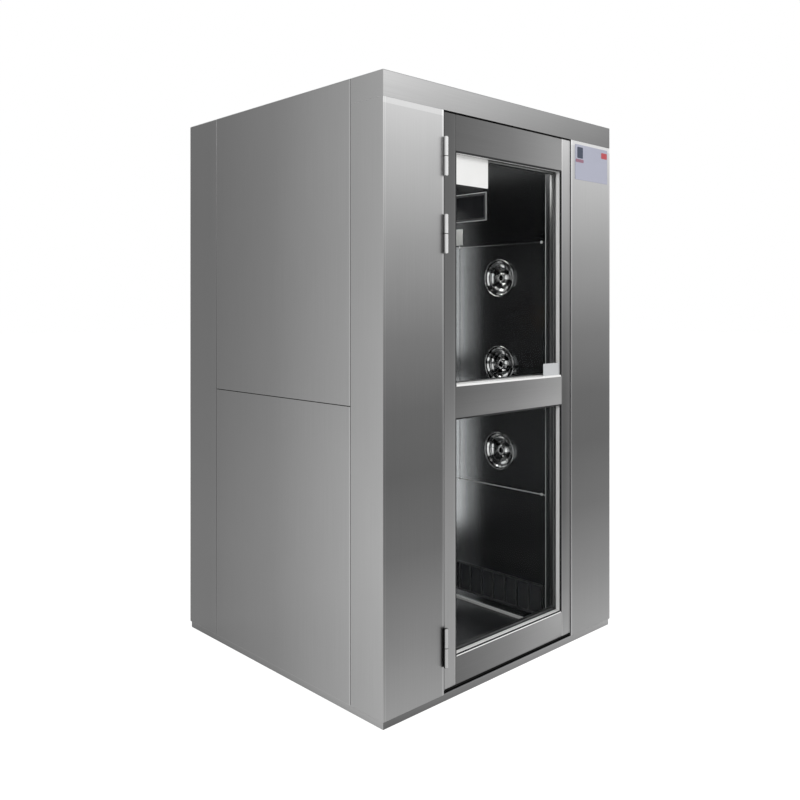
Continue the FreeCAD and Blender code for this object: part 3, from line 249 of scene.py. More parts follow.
# Finishes
class Finish:
    """A material under way: each call adds a shader node and gives back its output."""

    def __init__(self, name):
        self.material = bpy.data.materials.new(name)
        self.material.use_nodes = True
        self.nodes = self.material.node_tree.nodes
        self.links = self.material.node_tree.links
        self.shader = self.nodes["Principled BSDF"]

    def put(self, socket, item):
        """Links an output to a socket, or sets the socket's own value."""
        if isinstance(item, bpy.types.NodeSocket):
            self.links.new(item, socket)
        else:
            socket.default_value = item

    def add(self, kind, inputs=None, output=0, **settings):
        """Adds a node with its settings and inputs."""
        node = self.nodes.new(kind)
        for key, item in settings.items():
            setattr(node, key, item)
        for key, item in (inputs or {}).items():
            self.put(node.inputs[key], item)
        return node.outputs[output]

    def set(self, **sockets):
        """Sets the main shader's sockets, named with _ for a space."""
        for key, item in sockets.items():
            self.put(self.shader.inputs[key.replace("_", " ")], item)

    def maths(self, operation, *terms):
        """One step of arithmetic."""
        return self.add("ShaderNodeMath", dict(enumerate(terms)), operation=operation)

    def place(self, stretch=1.0):
        """Object coordinates, stretched by one number or by one for each axis."""
        scale = stretch if isinstance(stretch, tuple) else (stretch,) * 3
        coordinates = self.add("ShaderNodeTexCoord", output=3)
        return self.add("ShaderNodeMapping", {"Vector": coordinates, "Scale": scale})

    def axis(self, name):
        """One of the object's coordinates, in metres."""
        coordinates = self.add("ShaderNodeTexCoord", output=3)
        return self.add("ShaderNodeSeparateXYZ", {0: coordinates}, output="XYZ".index(name))

    def turned_axis(self, name, other):
        """A coordinate signed by the side that another gives, so that the rear is the front turned round."""
        side = self.maths("SIGN", self.axis(other))
        return self.maths("MULTIPLY", self.axis(name), self.maths("MULTIPLY", side, -1.0))

    def off_middle(self, name):
        """How far a point is from the middle along an axis, in metres."""
        return self.maths("ABSOLUTE", self.axis(name))

    def sideways(self):
        """How far a face looks to the left or right, from 0 to 1."""
        normal = self.add("ShaderNodeTexCoord", output=1)
        return self.maths("ABSOLUTE", self.add("ShaderNodeSeparateXYZ", {0: normal}))

    def noise(self, stretch, detail=3.0, rough=0.5):
        """Fractal noise on stretched object coordinates."""
        return self.add("ShaderNodeTexNoise", {"Vector": self.place(stretch), "Scale": 1.0,
                                               "Detail": detail, "Roughness": rough})

    def remap(self, item, low, high, first=0.0, last=1.0):
        """A value carried from one range to another and kept in it."""
        return self.add("ShaderNodeMapRange", {0: item, 1: low, 2: high, 3: first, 4: last})

    def vary(self, noise, low, high):
        """A value between two by a noise, such as a roughness."""
        return self.remap(noise, 0.2, 0.8, low, high)

    def ramp(self, factor, stops, interpolation="LINEAR"):
        """A colour ramp through (place, grey or colour) stops."""
        node = self.nodes.new("ShaderNodeValToRGB")
        node.color_ramp.interpolation = interpolation
        elements = node.color_ramp.elements
        elements.remove(elements[1])
        for count, (spot, tone) in enumerate(stops):
            element = elements.new(spot) if count else elements[0]
            element.position = spot
            colour = (tone,) * 3 if isinstance(tone, float) else tone
            element.color = (*colour, 1.0)
        self.put(node.inputs[0], factor)
        return node.outputs[0]

    def run(self, item, low, high, stops, interpolation="LINEAR"):
        """A ramp of tones laid between two places of a coordinate."""
        return self.ramp(self.remap(item, low, high), stops, interpolation)

    def mottle(self, noise, darkest):
        """A factor that darkens a colour a little in the lows of a noise."""
        return self.ramp(noise, [(0.3, darkest), (0.7, 1.0)])

    def mix(self, factor, first, second, blend="MIX"):
        """Mixes two colours."""
        node = self.nodes.new("ShaderNodeMix")
        node.data_type = "RGBA"
        node.blend_type = blend
        self.put(node.inputs[0], factor)
        for socket, item in ((node.inputs[6], first), (node.inputs[7], second)):
            self.put(socket, (*item, 1.0) if isinstance(item, tuple) else item)
        return node.outputs[2]

    def times(self, first, *others):
        """Multiplies colours."""
        for other in others:
            first = self.mix(1.0, first, other, "MULTIPLY")
        return first

    def bump(self, height, distance):
        """Connects a bump to the main shader."""
        self.set(Normal=self.add("ShaderNodeBump", {"Height": height, "Distance": distance}))


def brushed(finish, look, tone, stretch, soft=1.0, gloss=1.0):
    """Lays fine parallel brushing over a tone of steel, in tone, gloss and height, and gives the material."""
    fine = finish.noise(stretch, detail=4.0, rough=0.6)
    shade = finish.ramp(fine, [(0.25, 0.90), (0.75, 1.0)])
    roughness = look.steel_roughness * gloss
    finish.set(
        Base_Color=finish.times(tone, shade, finish.mottle(finish.noise(3.0), 0.97)),
        Metallic=1.0,
        Roughness=finish.vary(fine, roughness * 0.85, roughness * 1.15))
    finish.bump(fine, 0.00004 * soft)
    return finish.material


def side_reflection_tone(finish):
    """The tone of a side at a point, with its painted reflection, from the listed side tones."""
    return finish.run(finish.turned_axis("Y", "X"), -HALF_DEPTH, HALF_DEPTH, SIDE_REFLECTION_TONES)


def front_reflection_tone(finish, reach, stops):
    """The tone of a front at a point, with its painted reflection, from the hinge side to the lock side."""
    return finish.run(finish.turned_axis("X", "Y"), -reach, reach, stops)


def post_steel(look):
    """Upright-brushed steel of the posts, with a painted reflection: light at the head, dark at half height,
    lighter at the foot.
    """
    finish = Finish("post_steel")
    # Painted reflection, run with height
    upright = finish.run(finish.axis("Z"), 0.0, TONE_HEAD, [
        (0.0, 0.31), (0.12, 0.215), (0.27, 0.130), (0.40, 0.106), (0.50, 0.125),
        (0.62, 0.190), (0.78, 0.345), (0.93, 0.545), (1.0, 0.67)])
    # Painted highlights along the folds beside the doorway, down the outer edges and under the header
    fold_highlight = finish.run(finish.off_middle("X"), JAMB, JAMB + 0.020, [
        (0.0, 1.32), (0.36, 1.32), (0.42, 1.0), (1.0, 1.0)])
    corner_highlight = finish.run(finish.off_middle("X"), HALF_WIDTH - 0.014, HALF_WIDTH, [
        (0.0, 1.0), (0.18, 1.0), (0.22, 1.14), (0.45, 1.14),
        (0.50, 0.96), (0.75, 0.96), (0.80, 1.2), (1.0, 1.2)])
    head = finish.run(finish.axis("Z"), HEADER_FOOT - 0.012, HEADER_FOOT, [
        (0.0, 1.0), (0.52, 1.0), (0.60, 1.16), (1.0, 1.16)])
    front = finish.times(upright, fold_highlight, corner_highlight, head)
    # Painted light and shade in the doorway: light beside the leaf and dark behind it
    in_doorway = finish.maths("LESS_THAN", finish.off_middle("X"), JAMB + 0.0002)
    behind = finish.maths("LESS_THAN", finish.off_middle("Y"), -LEAF_HIGH.y)
    painted_reveal = finish.mix(behind, (0.5, 0.5, 0.505), (0.13, 0.13, 0.135))
    outside = finish.mix(finish.sideways(), front, side_reflection_tone(finish))
    return brushed(finish, look, finish.mix(in_doorway, outside, painted_reveal), UPRIGHT)


def base_steel(look):
    """Steel of the base: as the side panels along the sides, darker under the door, its tones painted
    reflections.
    """
    finish = Finish("base_steel")
    across = front_reflection_tone(finish, HALF_WIDTH, [(0.0, 0.13), (0.4, 0.20), (1.0, 0.34)])
    # Painted shade at the foot and a painted highlight along the top
    fold_highlight = finish.run(finish.axis("Z"), 0.0, BASE_HEAD, [
        (0.0, 0.9), (0.7, 1.0), (0.88, 1.0), (0.92, 1.45), (1.0, 1.45)])
    steel = finish.mix(finish.sideways(), across, side_reflection_tone(finish))
    return brushed(finish, look, finish.times(steel, fold_highlight), LEVEL)


def side_steel(look):
    """Upright-brushed steel of the side panels, with a painted reflection: dark at the far end and lighter
    towards the door.
    """
    finish = Finish("side_steel")
    # Painted highlights along the folded ends of the sheet
    front_end, rear_end = -0.438, 0.392
    ends = finish.run(finish.axis("Y"), front_end, rear_end, [
        (0.0, 1.5), (0.0035, 1.5), (0.0045, 1.0), (0.9955, 1.0), (0.9965, 1.3), (1.0, 1.3)])
    return brushed(finish, look, finish.times(side_reflection_tone(finish), ends), UPRIGHT)


def header_steel(look):
    """Level-brushed steel of the headers, with a painted reflection: light on the hinge side, dark on the
    lock side and lighter towards the top.
    """
    finish = Finish("header_steel")
    across = front_reflection_tone(finish, HALF_WIDTH, [
        (0.0, 0.68), (0.25, 0.545), (0.5, 0.42), (0.75, 0.325), (1.0, 0.25)])
    painted_height_tone = finish.run(finish.axis("Z"), HEADER_FOOT, HEIGHT, [(0.0, 0.84), (1.0, 1.04)])
    steel = finish.mix(finish.sideways(), finish.times(across, painted_height_tone), side_reflection_tone(finish))
    return brushed(finish, look, steel, LEVEL)


def stile_steel(look, name, stops):
    """Upright-brushed steel of a door stile, its tone a painted reflection run from foot to head."""
    finish = Finish(name)
    upright = finish.run(finish.axis("Z"), 0.0, TONE_HEAD, stops)
    # Painted highlight along the folded edge by the panes
    edge = finish.run(finish.off_middle("X"), STILE_INNER, STILE_INNER + 0.020, [
        (0.0, 1.7), (0.11, 1.7), (0.16, 1.0), (1.0, 1.0)])
    return brushed(finish, look, finish.times(upright, edge), UPRIGHT)


def rail_steel(look):
    """Level-brushed steel of the rails, with a painted reflection: dark at the hinge stile and light at the
    lock stile.
    """
    finish = Finish("rail_steel")
    across = front_reflection_tone(finish, STILE_INNER, [(0.0, 0.135), (0.5, 0.205), (1.0, 0.33)])
    return brushed(finish, look, across, LEVEL)


def inner_steel(look):
    """Satin steel of the lining, with painted shade darker towards the ceiling and a painted reflection as a
    bright band down the middle.
    """
    finish = Finish("inner_steel")
    # Painted shade, dropping sharply above the upper joint
    painted_height_tone = finish.run(finish.axis("Z"), 0.0, TONE_HEAD, [
        (0.0, 0.9), (0.804, 0.72), (0.808, 0.20), (1.0, 0.12)])
    # Painted reflection: a bright band down the middle of each wall
    middle = finish.run(finish.off_middle("Y"), 0.0, 0.2, [
        (0.0, 7.6), (0.35, 5.6), (0.80, 1.3), (1.0, 0.9)], "EASE")
    steel = finish.times(tuple(look.inner_steel), painted_height_tone, middle)
    return brushed(finish, look, steel, UPRIGHT, soft=0.03, gloss=0.65)


def floor_steel(look):
    """Walked-on steel of the floor plate, with fine scuffs."""
    finish = Finish("floor_steel")
    scuffs = finish.ramp(finish.noise((60.0, 14.0, 60.0), detail=6.0, rough=0.7), [
        (0.45, 0.85), (0.62, 1.0)])
    return brushed(finish, look, finish.times((0.16, 0.16, 0.165), scuffs), INWARD)


def polished(finish, tone, marks, low, high):
    """Polishes a tone of metal, with fine marks in its gloss and height, and gives the material."""
    finish.set(Base_Color=tone, Metallic=1.0, Roughness=finish.vary(marks, low, high))
    finish.bump(marks, 0.00003)
    return finish.material


def handling_marks(finish):
    """Faint marks left by hands and tools."""
    return finish.noise((90.0, 90.0, 25.0), detail=5.0, rough=0.65)


def turned_aluminium(name, petals):
    """Turned, polished aluminium of the nozzles: fine rings, and painted reflections as light and dark fans.
    """
    finish = Finish(name)
    tone = 0.95
    # Each point is placed by its angle and radius about the nozzle that it belongs to
    across = finish.maths("SUBTRACT", finish.off_middle("Y"), NOZZLE_COLUMN)
    pitch = NOZZLE_ROWS[1] - NOZZLE_ROWS[0]
    over_first = finish.maths("SUBTRACT", finish.axis("Z"), NOZZLE_ROWS[0])
    up = finish.maths("WRAP", over_first, pitch / 2, -pitch / 2)
    angle = finish.maths("ARCTAN2", up, across)
    squares = [finish.maths("MULTIPLY", side, side) for side in (up, across)]
    radius = finish.maths("SQRT", finish.maths("ADD", *squares))
    broad, narrow = (finish.maths("SINE", finish.maths("MULTIPLY_ADD", angle, count, start))
                     for count, start in ((4.0, 0.9), (11.0, 2.1)))
    fans = finish.maths("MULTIPLY_ADD", narrow, 0.6, broad)
    fan = finish.run(fans, -1.5, 1.5, [
        (0.0, tone * petals), (0.36, tone * petals), (0.44, 0.35 * tone), (0.52, tone), (1.0, tone)])
    # The lip round the hole and the outer rim have no fans; the bore of the hole and the groove inside the
    # rim are painted dark as shade
    plain = finish.run(radius, 0.0, RIM_RADIUS, [
        (0.0, 1.0), (0.205, 1.0), (0.21, 0.0), (0.91, 0.0), (0.915, 1.0), (1.0, 1.0)])
    rim = finish.run(radius, 0.0, RIM_RADIUS, [
        (0.0, 0.0), (0.14, 0.0), (0.15, 1.0), (0.30, 1.0),
        (0.31, 0.02), (0.965, 0.02), (0.972, 1.0), (1.0, 1.0)])
    rings = finish.add("ShaderNodeTexNoise", {"Vector": finish.add("ShaderNodeCombineXYZ", {0: radius}),
                                              "Scale": 1800.0, "Detail": 2.0})
    painted_light_and_rings = finish.times(finish.mix(plain, fan, rim), finish.mottle(rings, 0.86))
    return polished(finish, painted_light_and_rings, rings, 0.10, 0.20)


def polished_steel():
    """Bright polished steel with faint handling marks."""
    finish = Finish("polished_steel")
    marks = handling_marks(finish)
    return polished(finish, finish.ramp(marks, [(0.3, 0.80), (0.7, 0.90)]), marks, 0.14, 0.26)


def hinge_steel():
    """Polished hinge steel, with painted shade where the knuckle turns in to the jamb, on the lowest hinge
    and towards the floor.
    """
    finish = Finish("hinge_steel")
    marks = handling_marks(finish)
    axis, front = -HINGE_AXIS[1], KNUCKLE_RADIUS - HINGE_AXIS[1]
    low, high = (finish.run(finish.off_middle("Y"), axis, front, stops) for stops in (
        [(0.0, 0.03), (0.12, 0.12), (0.30, 0.85), (1.0, 1.0)],
        [(0.0, 0.50), (0.25, 0.66), (0.55, 0.84), (1.0, 1.0)]))
    # Painted shade: the lowest hinge lies in more shade than the two high ones
    jamb_shade = finish.mix(finish.maths("GREATER_THAN", finish.axis("Z"), 0.6), low, high)
    # Painted shade, deeper towards the floor
    height = finish.run(finish.axis("Z"), 0.0, TONE_HEAD, [(0.0, 0.40), (0.4, 0.5), (0.9, 0.86)])
    tone = finish.times(jamb_shade, height, finish.mottle(marks, 0.88))
    return polished(finish, tone, marks, 0.18, 0.30)


def door_glass(look):
    """Clear float glass, thin enough to take as a tint and a faint sheen."""
    finish = Finish("door_glass")
    finish.nodes.remove(finish.shader)
    smear = finish.noise((5.0, 5.0, 3.0), detail=4.0)
    clear = finish.add("ShaderNodeBsdfTransparent", {0: (*look.glass_tint, 1.0)})
    sheen = finish.add("ShaderNodeBsdfGlossy", {
        "Color": (0.9, 0.95, 1.0, 1.0),
        "Roughness": finish.remap(smear, 0.3, 0.7, 0.02, 0.06)})
    facing = finish.add("ShaderNodeLayerWeight", {"Blend": 0.5}, output=1)
    amount = finish.maths("MULTIPLY_ADD", finish.maths("POWER", facing, 4.0), 0.07, 0.001)
    surface = finish.add("ShaderNodeMixShader", {0: amount, 1: clear, 2: sheen})
    finish.put(finish.nodes["Material Output"].inputs["Surface"], surface)
    return finish.material


def plastic(name, colour, roughness, grain=900.0, depth=0.00004, specular=0.4):
    """Moulded plastic or enamel: fine grain, faint clouding and rubbed gloss."""
    finish = Finish(name)
    cloudy = finish.noise(6.0, detail=4.0)
    finish.set(
        Base_Color=finish.times(tuple(colour), finish.mottle(cloudy, 0.93)),
        Roughness=finish.vary(cloudy, roughness * 0.85, roughness * 1.15),
        Specular_IOR_Level=specular)
    finish.bump(finish.noise(grain, detail=2.0), depth)
    return finish.material


def smooth_dark(name, colour):
    """Dark, smooth plastic of a window or lens."""
    return plastic(name, colour, 0.12, 200.0, 0.00001, 0.6)


def sheet_paint(name, colour, metallic, roughness, scale):
    """Painted or zinc-coated sheet, with crystal spangle where it is metal."""
    finish = Finish(name)
    spangle = finish.add("ShaderNodeTexVoronoi", {"Vector": finish.place(), "Scale": scale})
    fine = finish.noise(500.0)
    finish.set(
        Base_Color=finish.times(colour, finish.ramp(spangle, [(0.0, 0.84), (0.7, 1.0)])),
        Metallic=metallic,
        Roughness=finish.vary(fine, roughness * 0.9, roughness * 1.15))
    finish.bump(fine, 0.00005)
    return finish.material


def pleated_media():
    """Folded filter paper: close upright pleats with painted shade in the folds."""
    finish = Finish("pleated_media")
    pleats = finish.add("ShaderNodeTexWave", {"Vector": finish.place(), "Scale": 45.0,
                                              "Distortion": 0.4, "Detail": 2.0},
                        wave_type="BANDS", bands_direction="Y")
    fibres = finish.noise((700.0, 700.0, 120.0), detail=4.0)
    tone = finish.ramp(pleats, [(0.0, (0.56, 0.56, 0.52)), (0.7, (0.84, 0.84, 0.80))])
    finish.set(Base_Color=finish.times(tone, finish.mottle(fibres, 0.92)), Roughness=0.9)
    finish.bump(pleats, 0.0008)
    return finish.material


def opal_lamp():
    """Lit opal lamp cover with fine prisms."""
    finish = Finish("opal_lamp")
    prisms = finish.add("ShaderNodeTexChecker", {"Vector": finish.place(), "Scale": 160.0}, output=1)
    finish.set(
        Base_Color=finish.ramp(finish.noise(20.0), [(0.3, (0.74, 0.75, 0.75)), (0.7, (0.82, 0.83, 0.83))]),
        Roughness=0.45, Specular_IOR_Level=0.4,
        Emission_Color=(1.0, 1.0, 0.98, 1.0), Emission_Strength=4.0)
    finish.bump(prisms, 0.0001)
    return finish.material


# Operators
class AIRSHOWER_OT_stage(bpy.types.Operator):
    """Puts up the pale floor, the soft lights, the plain world and the camera"""

    bl_idname = "airshower.stage"
    bl_label = "Set Up Stage"

    def execute(self, context):
        scene = context.scene
        look = scene.air_shower_look
        scene.view_settings.view_transform = "Standard"
        self.camera(scene)
        self.world(scene, look)
        self.floor(look)
        for name, place, size, energy in (
                ("key_light", (-3.6, -3.9, 3.6), 1.6, 110.0),
                ("side_light", (-4.8, 1.2, 3.0), 2.4, 90.0),
                ("fill_light", (3.6, -4.2, 2.6), 2.8, 110.0),
                ("rear_light", (3.6, 3.9, 3.6), 1.6, 110.0)):
            lamp = bpy.data.lights.new(name, "AREA")
            lamp.size = size
            lamp.energy = energy
            stand = bpy.data.objects.new(name, lamp)
            # Lamps give light but aren't mirrored in the steel
            stand.visible_glossy = False
            stand.location = place
            aim = Vector((0, 0, 1.0)) - Vector(place)
            stand.rotation_euler = aim.to_track_quat("-Z", "Y").to_euler()
            scene.collection.objects.link(stand)
        return {"FINISHED"}

    def camera(self, scene):
        """The camera, at the photograph's place and angle."""
        lens = bpy.data.cameras.new("camera")
        lens.lens = 37.82
        lens.sensor_width = 36.0
        lens.shift_y = -0.1165
        lens.clip_end = 200.0
        body = bpy.data.objects.new("camera", lens)
        body.location = (-2.4473, -2.5661, 1.345)
        body.rotation_euler = (math.radians(90), 0, math.radians(-43.59))
        scene.collection.objects.link(body)
        scene.camera = body

    def backdrop_switch(self, tree, plain):
        """A strength of 1 for what is seen, also in metal and through glass, and a plain level for light."""
        path = tree.nodes.new("ShaderNodeLightPath")
        seen = path.outputs["Is Camera Ray"]
        for name in ("Is Glossy Ray", "Is Transmission Ray"):
            either = tree.nodes.new("ShaderNodeMath")
            either.operation = "MAXIMUM"
            tree.links.new(seen, either.inputs[0])
            tree.links.new(path.outputs[name], either.inputs[1])
            seen = either.outputs[0]
        level = tree.nodes.new("ShaderNodeMapRange")
        tree.links.new(seen, level.inputs[0])
        level.inputs[3].default_value = plain
        level.inputs[4].default_value = 1.0
        return level.outputs[0]

    def world(self, scene, look):
        """A white world behind the object, at a plain level as light."""
        scene.world = bpy.data.worlds.new("studio")
        scene.world.use_nodes = True
        tree = scene.world.node_tree
        background = tree.nodes["Background"]
        background.inputs[0].default_value = (*look.backdrop, 1.0)
        tree.links.new(self.backdrop_switch(tree, 0.62), background.inputs[1])

    def floor(self, look):
        """A wide pale floor that stays white and still takes the object's shadow."""
        mesh = bmesh.new()
        bmesh.ops.create_grid(mesh, x_segments=1, y_segments=1, size=40.0)
        bmesh.ops.translate(mesh, vec=(0, 0, -0.0005), verts=mesh.verts)
        finish = Finish("studio_floor")
        glow = finish.maths("MULTIPLY", self.backdrop_switch(finish.material.node_tree, 0.3), 0.86)
        finish.set(Base_Color=(0.3, 0.3, 0.3, 1.0), Roughness=0.9, Specular_IOR_Level=0.0,
                   Emission_Color=(*look.backdrop, 1.0), Emission_Strength=glow)
        linked("studio_floor", mesh, finish.material)


class AIRSHOWER_OT_cabinet(bpy.types.Operator):
    """Finishes the cabinet's outer steel: posts, headers, side panels, roof, floor plate and base"""

    bl_idname = "airshower.cabinet"
    bl_label = "Finish Cabinet"

    def execute(self, context):
        look, edge = context.scene.air_shower_look, context.scene.air_shower_trim.sheet_edge
        dress(post_steel(look), "front_left_post", "front_right_post", "rear_left_post", "rear_right_post",
              edge=edge)
        dress(side_steel(look), "left_lower_panel", "left_upper_panel", "right_lower_panel",
              "right_upper_panel", edge=edge)
        dress(header_steel(look), "front_header", "rear_header", edge=edge)
        dress(brushed(Finish("roof_steel"), look, (0.56, 0.565, 0.57), INWARD), "roof_panel", edge=0.0005)
        dress(floor_steel(look), "floor_plate", edge=0.0008)
        dress(base_steel(look), "base_frame", edge=0.001)
        return {"FINISHED"}


class AIRSHOWER_OT_doors(bpy.types.Operator):
    """Builds both door leaves from separate stiles and rails, and finishes their glass, beads and rubbers"""

    bl_idname = "airshower.doors"
    bl_label = "Build Doors"

    def execute(self, context):
        look, trim = context.scene.air_shower_look, context.scene.air_shower_trim
        # Painted reflection tones of each stile, from foot to head
        hinge_side = stile_steel(look, "hinge_stile_steel", [
            (0.0, 0.33), (0.25, 0.255), (0.55, 0.168), (1.0, 0.120)])
        lock_side = stile_steel(look, "lock_stile_steel", [
            (0.0, 0.35), (0.12, 0.20), (0.27, 0.110), (0.40, 0.087), (0.50, 0.100),
            (0.62, 0.155), (0.78, 0.295), (0.93, 0.50), (1.0, 0.66)])
        rails = rail_steel(look)
        glass = door_glass(look)
        bead = plastic("glazing_bead", look.bead, 0.4)
        rubber = plastic("door_rubber", (0.018, 0.018, 0.019), 0.65, 1400.0, 0.00008, 0.25)
        black = plastic("sweep_rubber", (0.004, 0.004, 0.004), 0.8, 1400.0, 0.00008, 0.1)
        for end, turn in ENDS:
            body = f"{end}_door"
            for word, mesh, finish, replaced in (
                    ("lock_stile", self.lock_stile(), lock_side, ()),
                    ("hinge_stile", self.stile(LEAF_LOW.x, -STILE_INNER), hinge_side, (f"{end}_door_frame",)),
                    ("rails", self.rails(trim.joint_gap), rails, ()),
                    ("glazing_lips", self.lips(), rails, ())):
                round_edges(mesh, trim.member_edge)
                lay(mesh, mesh.verts, turn)
                piece(f"{end}_{word}", mesh, finish, body, replaced)
            self.sills(end, turn, bead)
            dress(glass, f"{end}_door_glass")
            dress(bead, f"{end}_glazing_beads", edge=0.0012)
            dress(rubber, f"{end}_door_rubbers", edge=0.0008)
            self.underside(end, turn, black)
        return {"FINISHED"}

    def stile(self, near, far):
        """One upright member, full height."""
        mesh = bmesh.new()
        block(mesh, (near, LEAF_LOW.y, LEAF_LOW.z), (far, LEAF_HIGH.y, LEAF_HIGH.z))
        return mesh

    def lock_stile(self):
        """The stile on the lock side, with the bolt's slot sunk into its edge."""
        mesh = self.stile(STILE_INNER, LEAF_HIGH.x)
        play, depth = 0.0008, 0.016
        for axis, low, high in ((1, BOLT_LOW.y, BOLT_HIGH.y), (2, BOLT_LOW.z, BOLT_HIGH.z)):
            for place in (low - play, high + play):
                point, normal = Vector(), Vector()
                point[axis] = place
                normal[axis] = 1.0
                bmesh.ops.bisect_plane(mesh, geom=mesh.verts[:] + mesh.edges[:] + mesh.faces[:],
                                       dist=1e-7, plane_co=point, plane_no=normal)
        middle = (BOLT_LOW + BOLT_HIGH) / 2
        edge = Vector((LEAF_HIGH.x, middle.y, middle.z))
        mouth = min(mesh.faces, key=lambda face: (face.calc_center_median() - edge).length)
        sunk = bmesh.ops.extrude_discrete_faces(mesh, faces=[mouth])["faces"]
        bmesh.ops.translate(mesh, vec=(-depth, 0, 0), verts=list({v for face in sunk for v in face.verts}))
        return mesh

    def rails(self, gap):
        """Bottom, middle and top rails between the stiles."""
        mesh = bmesh.new()
        reach = STILE_INNER - gap
        (lower_foot, lower_head), (upper_foot, upper_head) = PANES
        for low, high in ((LEAF_LOW.z, lower_foot), (lower_head, upper_foot), (upper_head, LEAF_HIGH.z)):
            block(mesh, (-reach, LEAF_LOW.y, low), (reach, LEAF_HIGH.y, high))
        return mesh

    def lips(self):
        """The thin lips behind the glass that the panes rest on."""
        mesh = bmesh.new()
        front, back, lip = GLASS_HIGH.y, LEAF_HIGH.y - 0.0004, 0.012
        for low, high in PANES:
            for side in (-1, 1):
                edges = sorted((side * STILE_INNER, side * (STILE_INNER - lip)))
                block(mesh, (edges[0], front, low), (edges[1], back, high))
            block(mesh, (-STILE_INNER + lip, front, low), (STILE_INNER - lip, back, low + lip))
            block(mesh, (-STILE_INNER + lip, front, high - lip), (STILE_INNER - lip, back, high))
        return mesh

    def sills(self, end, turn, bead):
        """The sloped white sill beads at the foot of both panes."""
        mesh = bmesh.new()
        reach = STILE_INNER - 0.0055
        for (low, _), rise in zip(PANES, (0.0055, 0.0092)):
            verts = block(mesh, (-reach, LEAF_LOW.y - 0.0003, low - 0.0012), (reach, GLASS_LOW.y, low + rise))
            front_top = [v for v in verts if v.co.z > low and v.co.y < GLASS_LOW.y - 0.01]
            bmesh.ops.translate(mesh, vec=(0, 0, -0.4 * rise), verts=front_top)
        round_edges(mesh, 0.0008)
        lay(mesh, mesh.verts, turn)
        piece(f"{end}_pane_sills", mesh, bead, f"{end}_door")

    def underside(self, end, turn, black):
        """The sweep that closes the gap under the leaf, and the near-black mat on the threshold below it,
        which also stands in for the shade under the leaf.
        """
        front, inset = LEAF_LOW.y, 0.0015
        for name, body, low, high in (
                (f"{end}_door_sweep", f"{end}_door",
                 (LEAF_LOW.x + 0.001, front - 0.0006, LEAF_LOW.z - 0.0005),
                 (LEAF_HIGH.x - 0.001, front + 0.012, LEAF_LOW.z + 0.0055)),
                (f"{end}_threshold_mat", "cabinet",
                 (inset - JAMB, front + 0.002, FLOOR_FACE),
                 (JAMB - inset, THRESHOLD_BACK, FLOOR_FACE + 0.0006))):
            mesh = bmesh.new()
            block(mesh, low, high)
            lay(mesh, mesh.verts, turn)
            piece(name, mesh, black, body)


class AIRSHOWER_OT_hinges(bpy.types.Operator):
    """Builds the lift-off hinges of both doors with turned knuckles, pins and leaves"""

    bl_idname = "airshower.hinges"
    bl_label = "Build Hinges"

    def execute(self, context):
        steps = context.scene.air_shower_trim.turned_steps // 2
        steel = hinge_steel()
        washers = bmesh.new()
        frame_halves = bmesh.new()
        for end, turn in ENDS:
            door_halves = bmesh.new()
            on_axis = turn @ Matrix.Translation((*HINGE_AXIS, 0))
            for centre in HINGE_CENTRES:
                for mesh, profile, count in ((frame_halves, self.pin_profile(centre), steps),
                                             (door_halves, self.socket_profile(centre), steps),
                                             (washers, self.washer_profile(centre), 32)):
                    lay(mesh, turned(mesh, profile, count), on_axis)
                for mesh, left, low, high in (
                        (frame_halves, -0.370, centre - HINGE_REACH, centre - HINGE_GAP),
                        (door_halves, -0.369, centre + HINGE_GAP, centre + HINGE_REACH)):
                    leaf = block(mesh, (left, HINGE_LEAF[0], low + 0.001),
                                 (left + 0.003, HINGE_LEAF[1], high - 0.001))
                    lay(mesh, leaf, turn)
            piece(f"{end}_hinge_door_halves", door_halves, steel, f"{end}_door",
                  (f"{end}_hinge_door_leaves",))
        piece("hinge_frame_halves", frame_halves, steel, "cabinet", ("hinge_frame_leaves",))
        piece("hinge_washers", washers, plastic("hinge_washer", (0.02, 0.02, 0.02), 0.5), "cabinet")
        return {"FINISHED"}

    def pin_profile(self, centre):
        """The cabinet's half: a knuckle with the pin on it."""
        low, split = centre - HINGE_REACH, centre - HINGE_GAP
        return [(0.0, low), (0.0058, low), (KNUCKLE_RADIUS, low + 0.0022), (KNUCKLE_RADIUS, split - 0.0006),
                (0.0074, split), (0.0045, split), (0.0045, centre + 0.049), (0.0035, centre + 0.050),
                (0.0, centre + 0.050)]

    def socket_profile(self, centre):
        """The door's half: a knuckle bored for the pin."""
        high, split, bore = centre + HINGE_REACH, centre + HINGE_GAP, 0.00455
        return [(0.0, centre + 0.0515), (bore, centre + 0.0515), (bore, split), (0.0074, split),
                (KNUCKLE_RADIUS, split + 0.0006), (KNUCKLE_RADIUS, high - 0.0022), (0.0058, high),
                (0.0, high)]

    def washer_profile(self, centre):
        """The washer between the halves."""
        low, high = centre - 0.0009, centre + 0.0009
        return [(0.0047, low), (0.0070, low), (0.0070, high), (0.0047, high)]


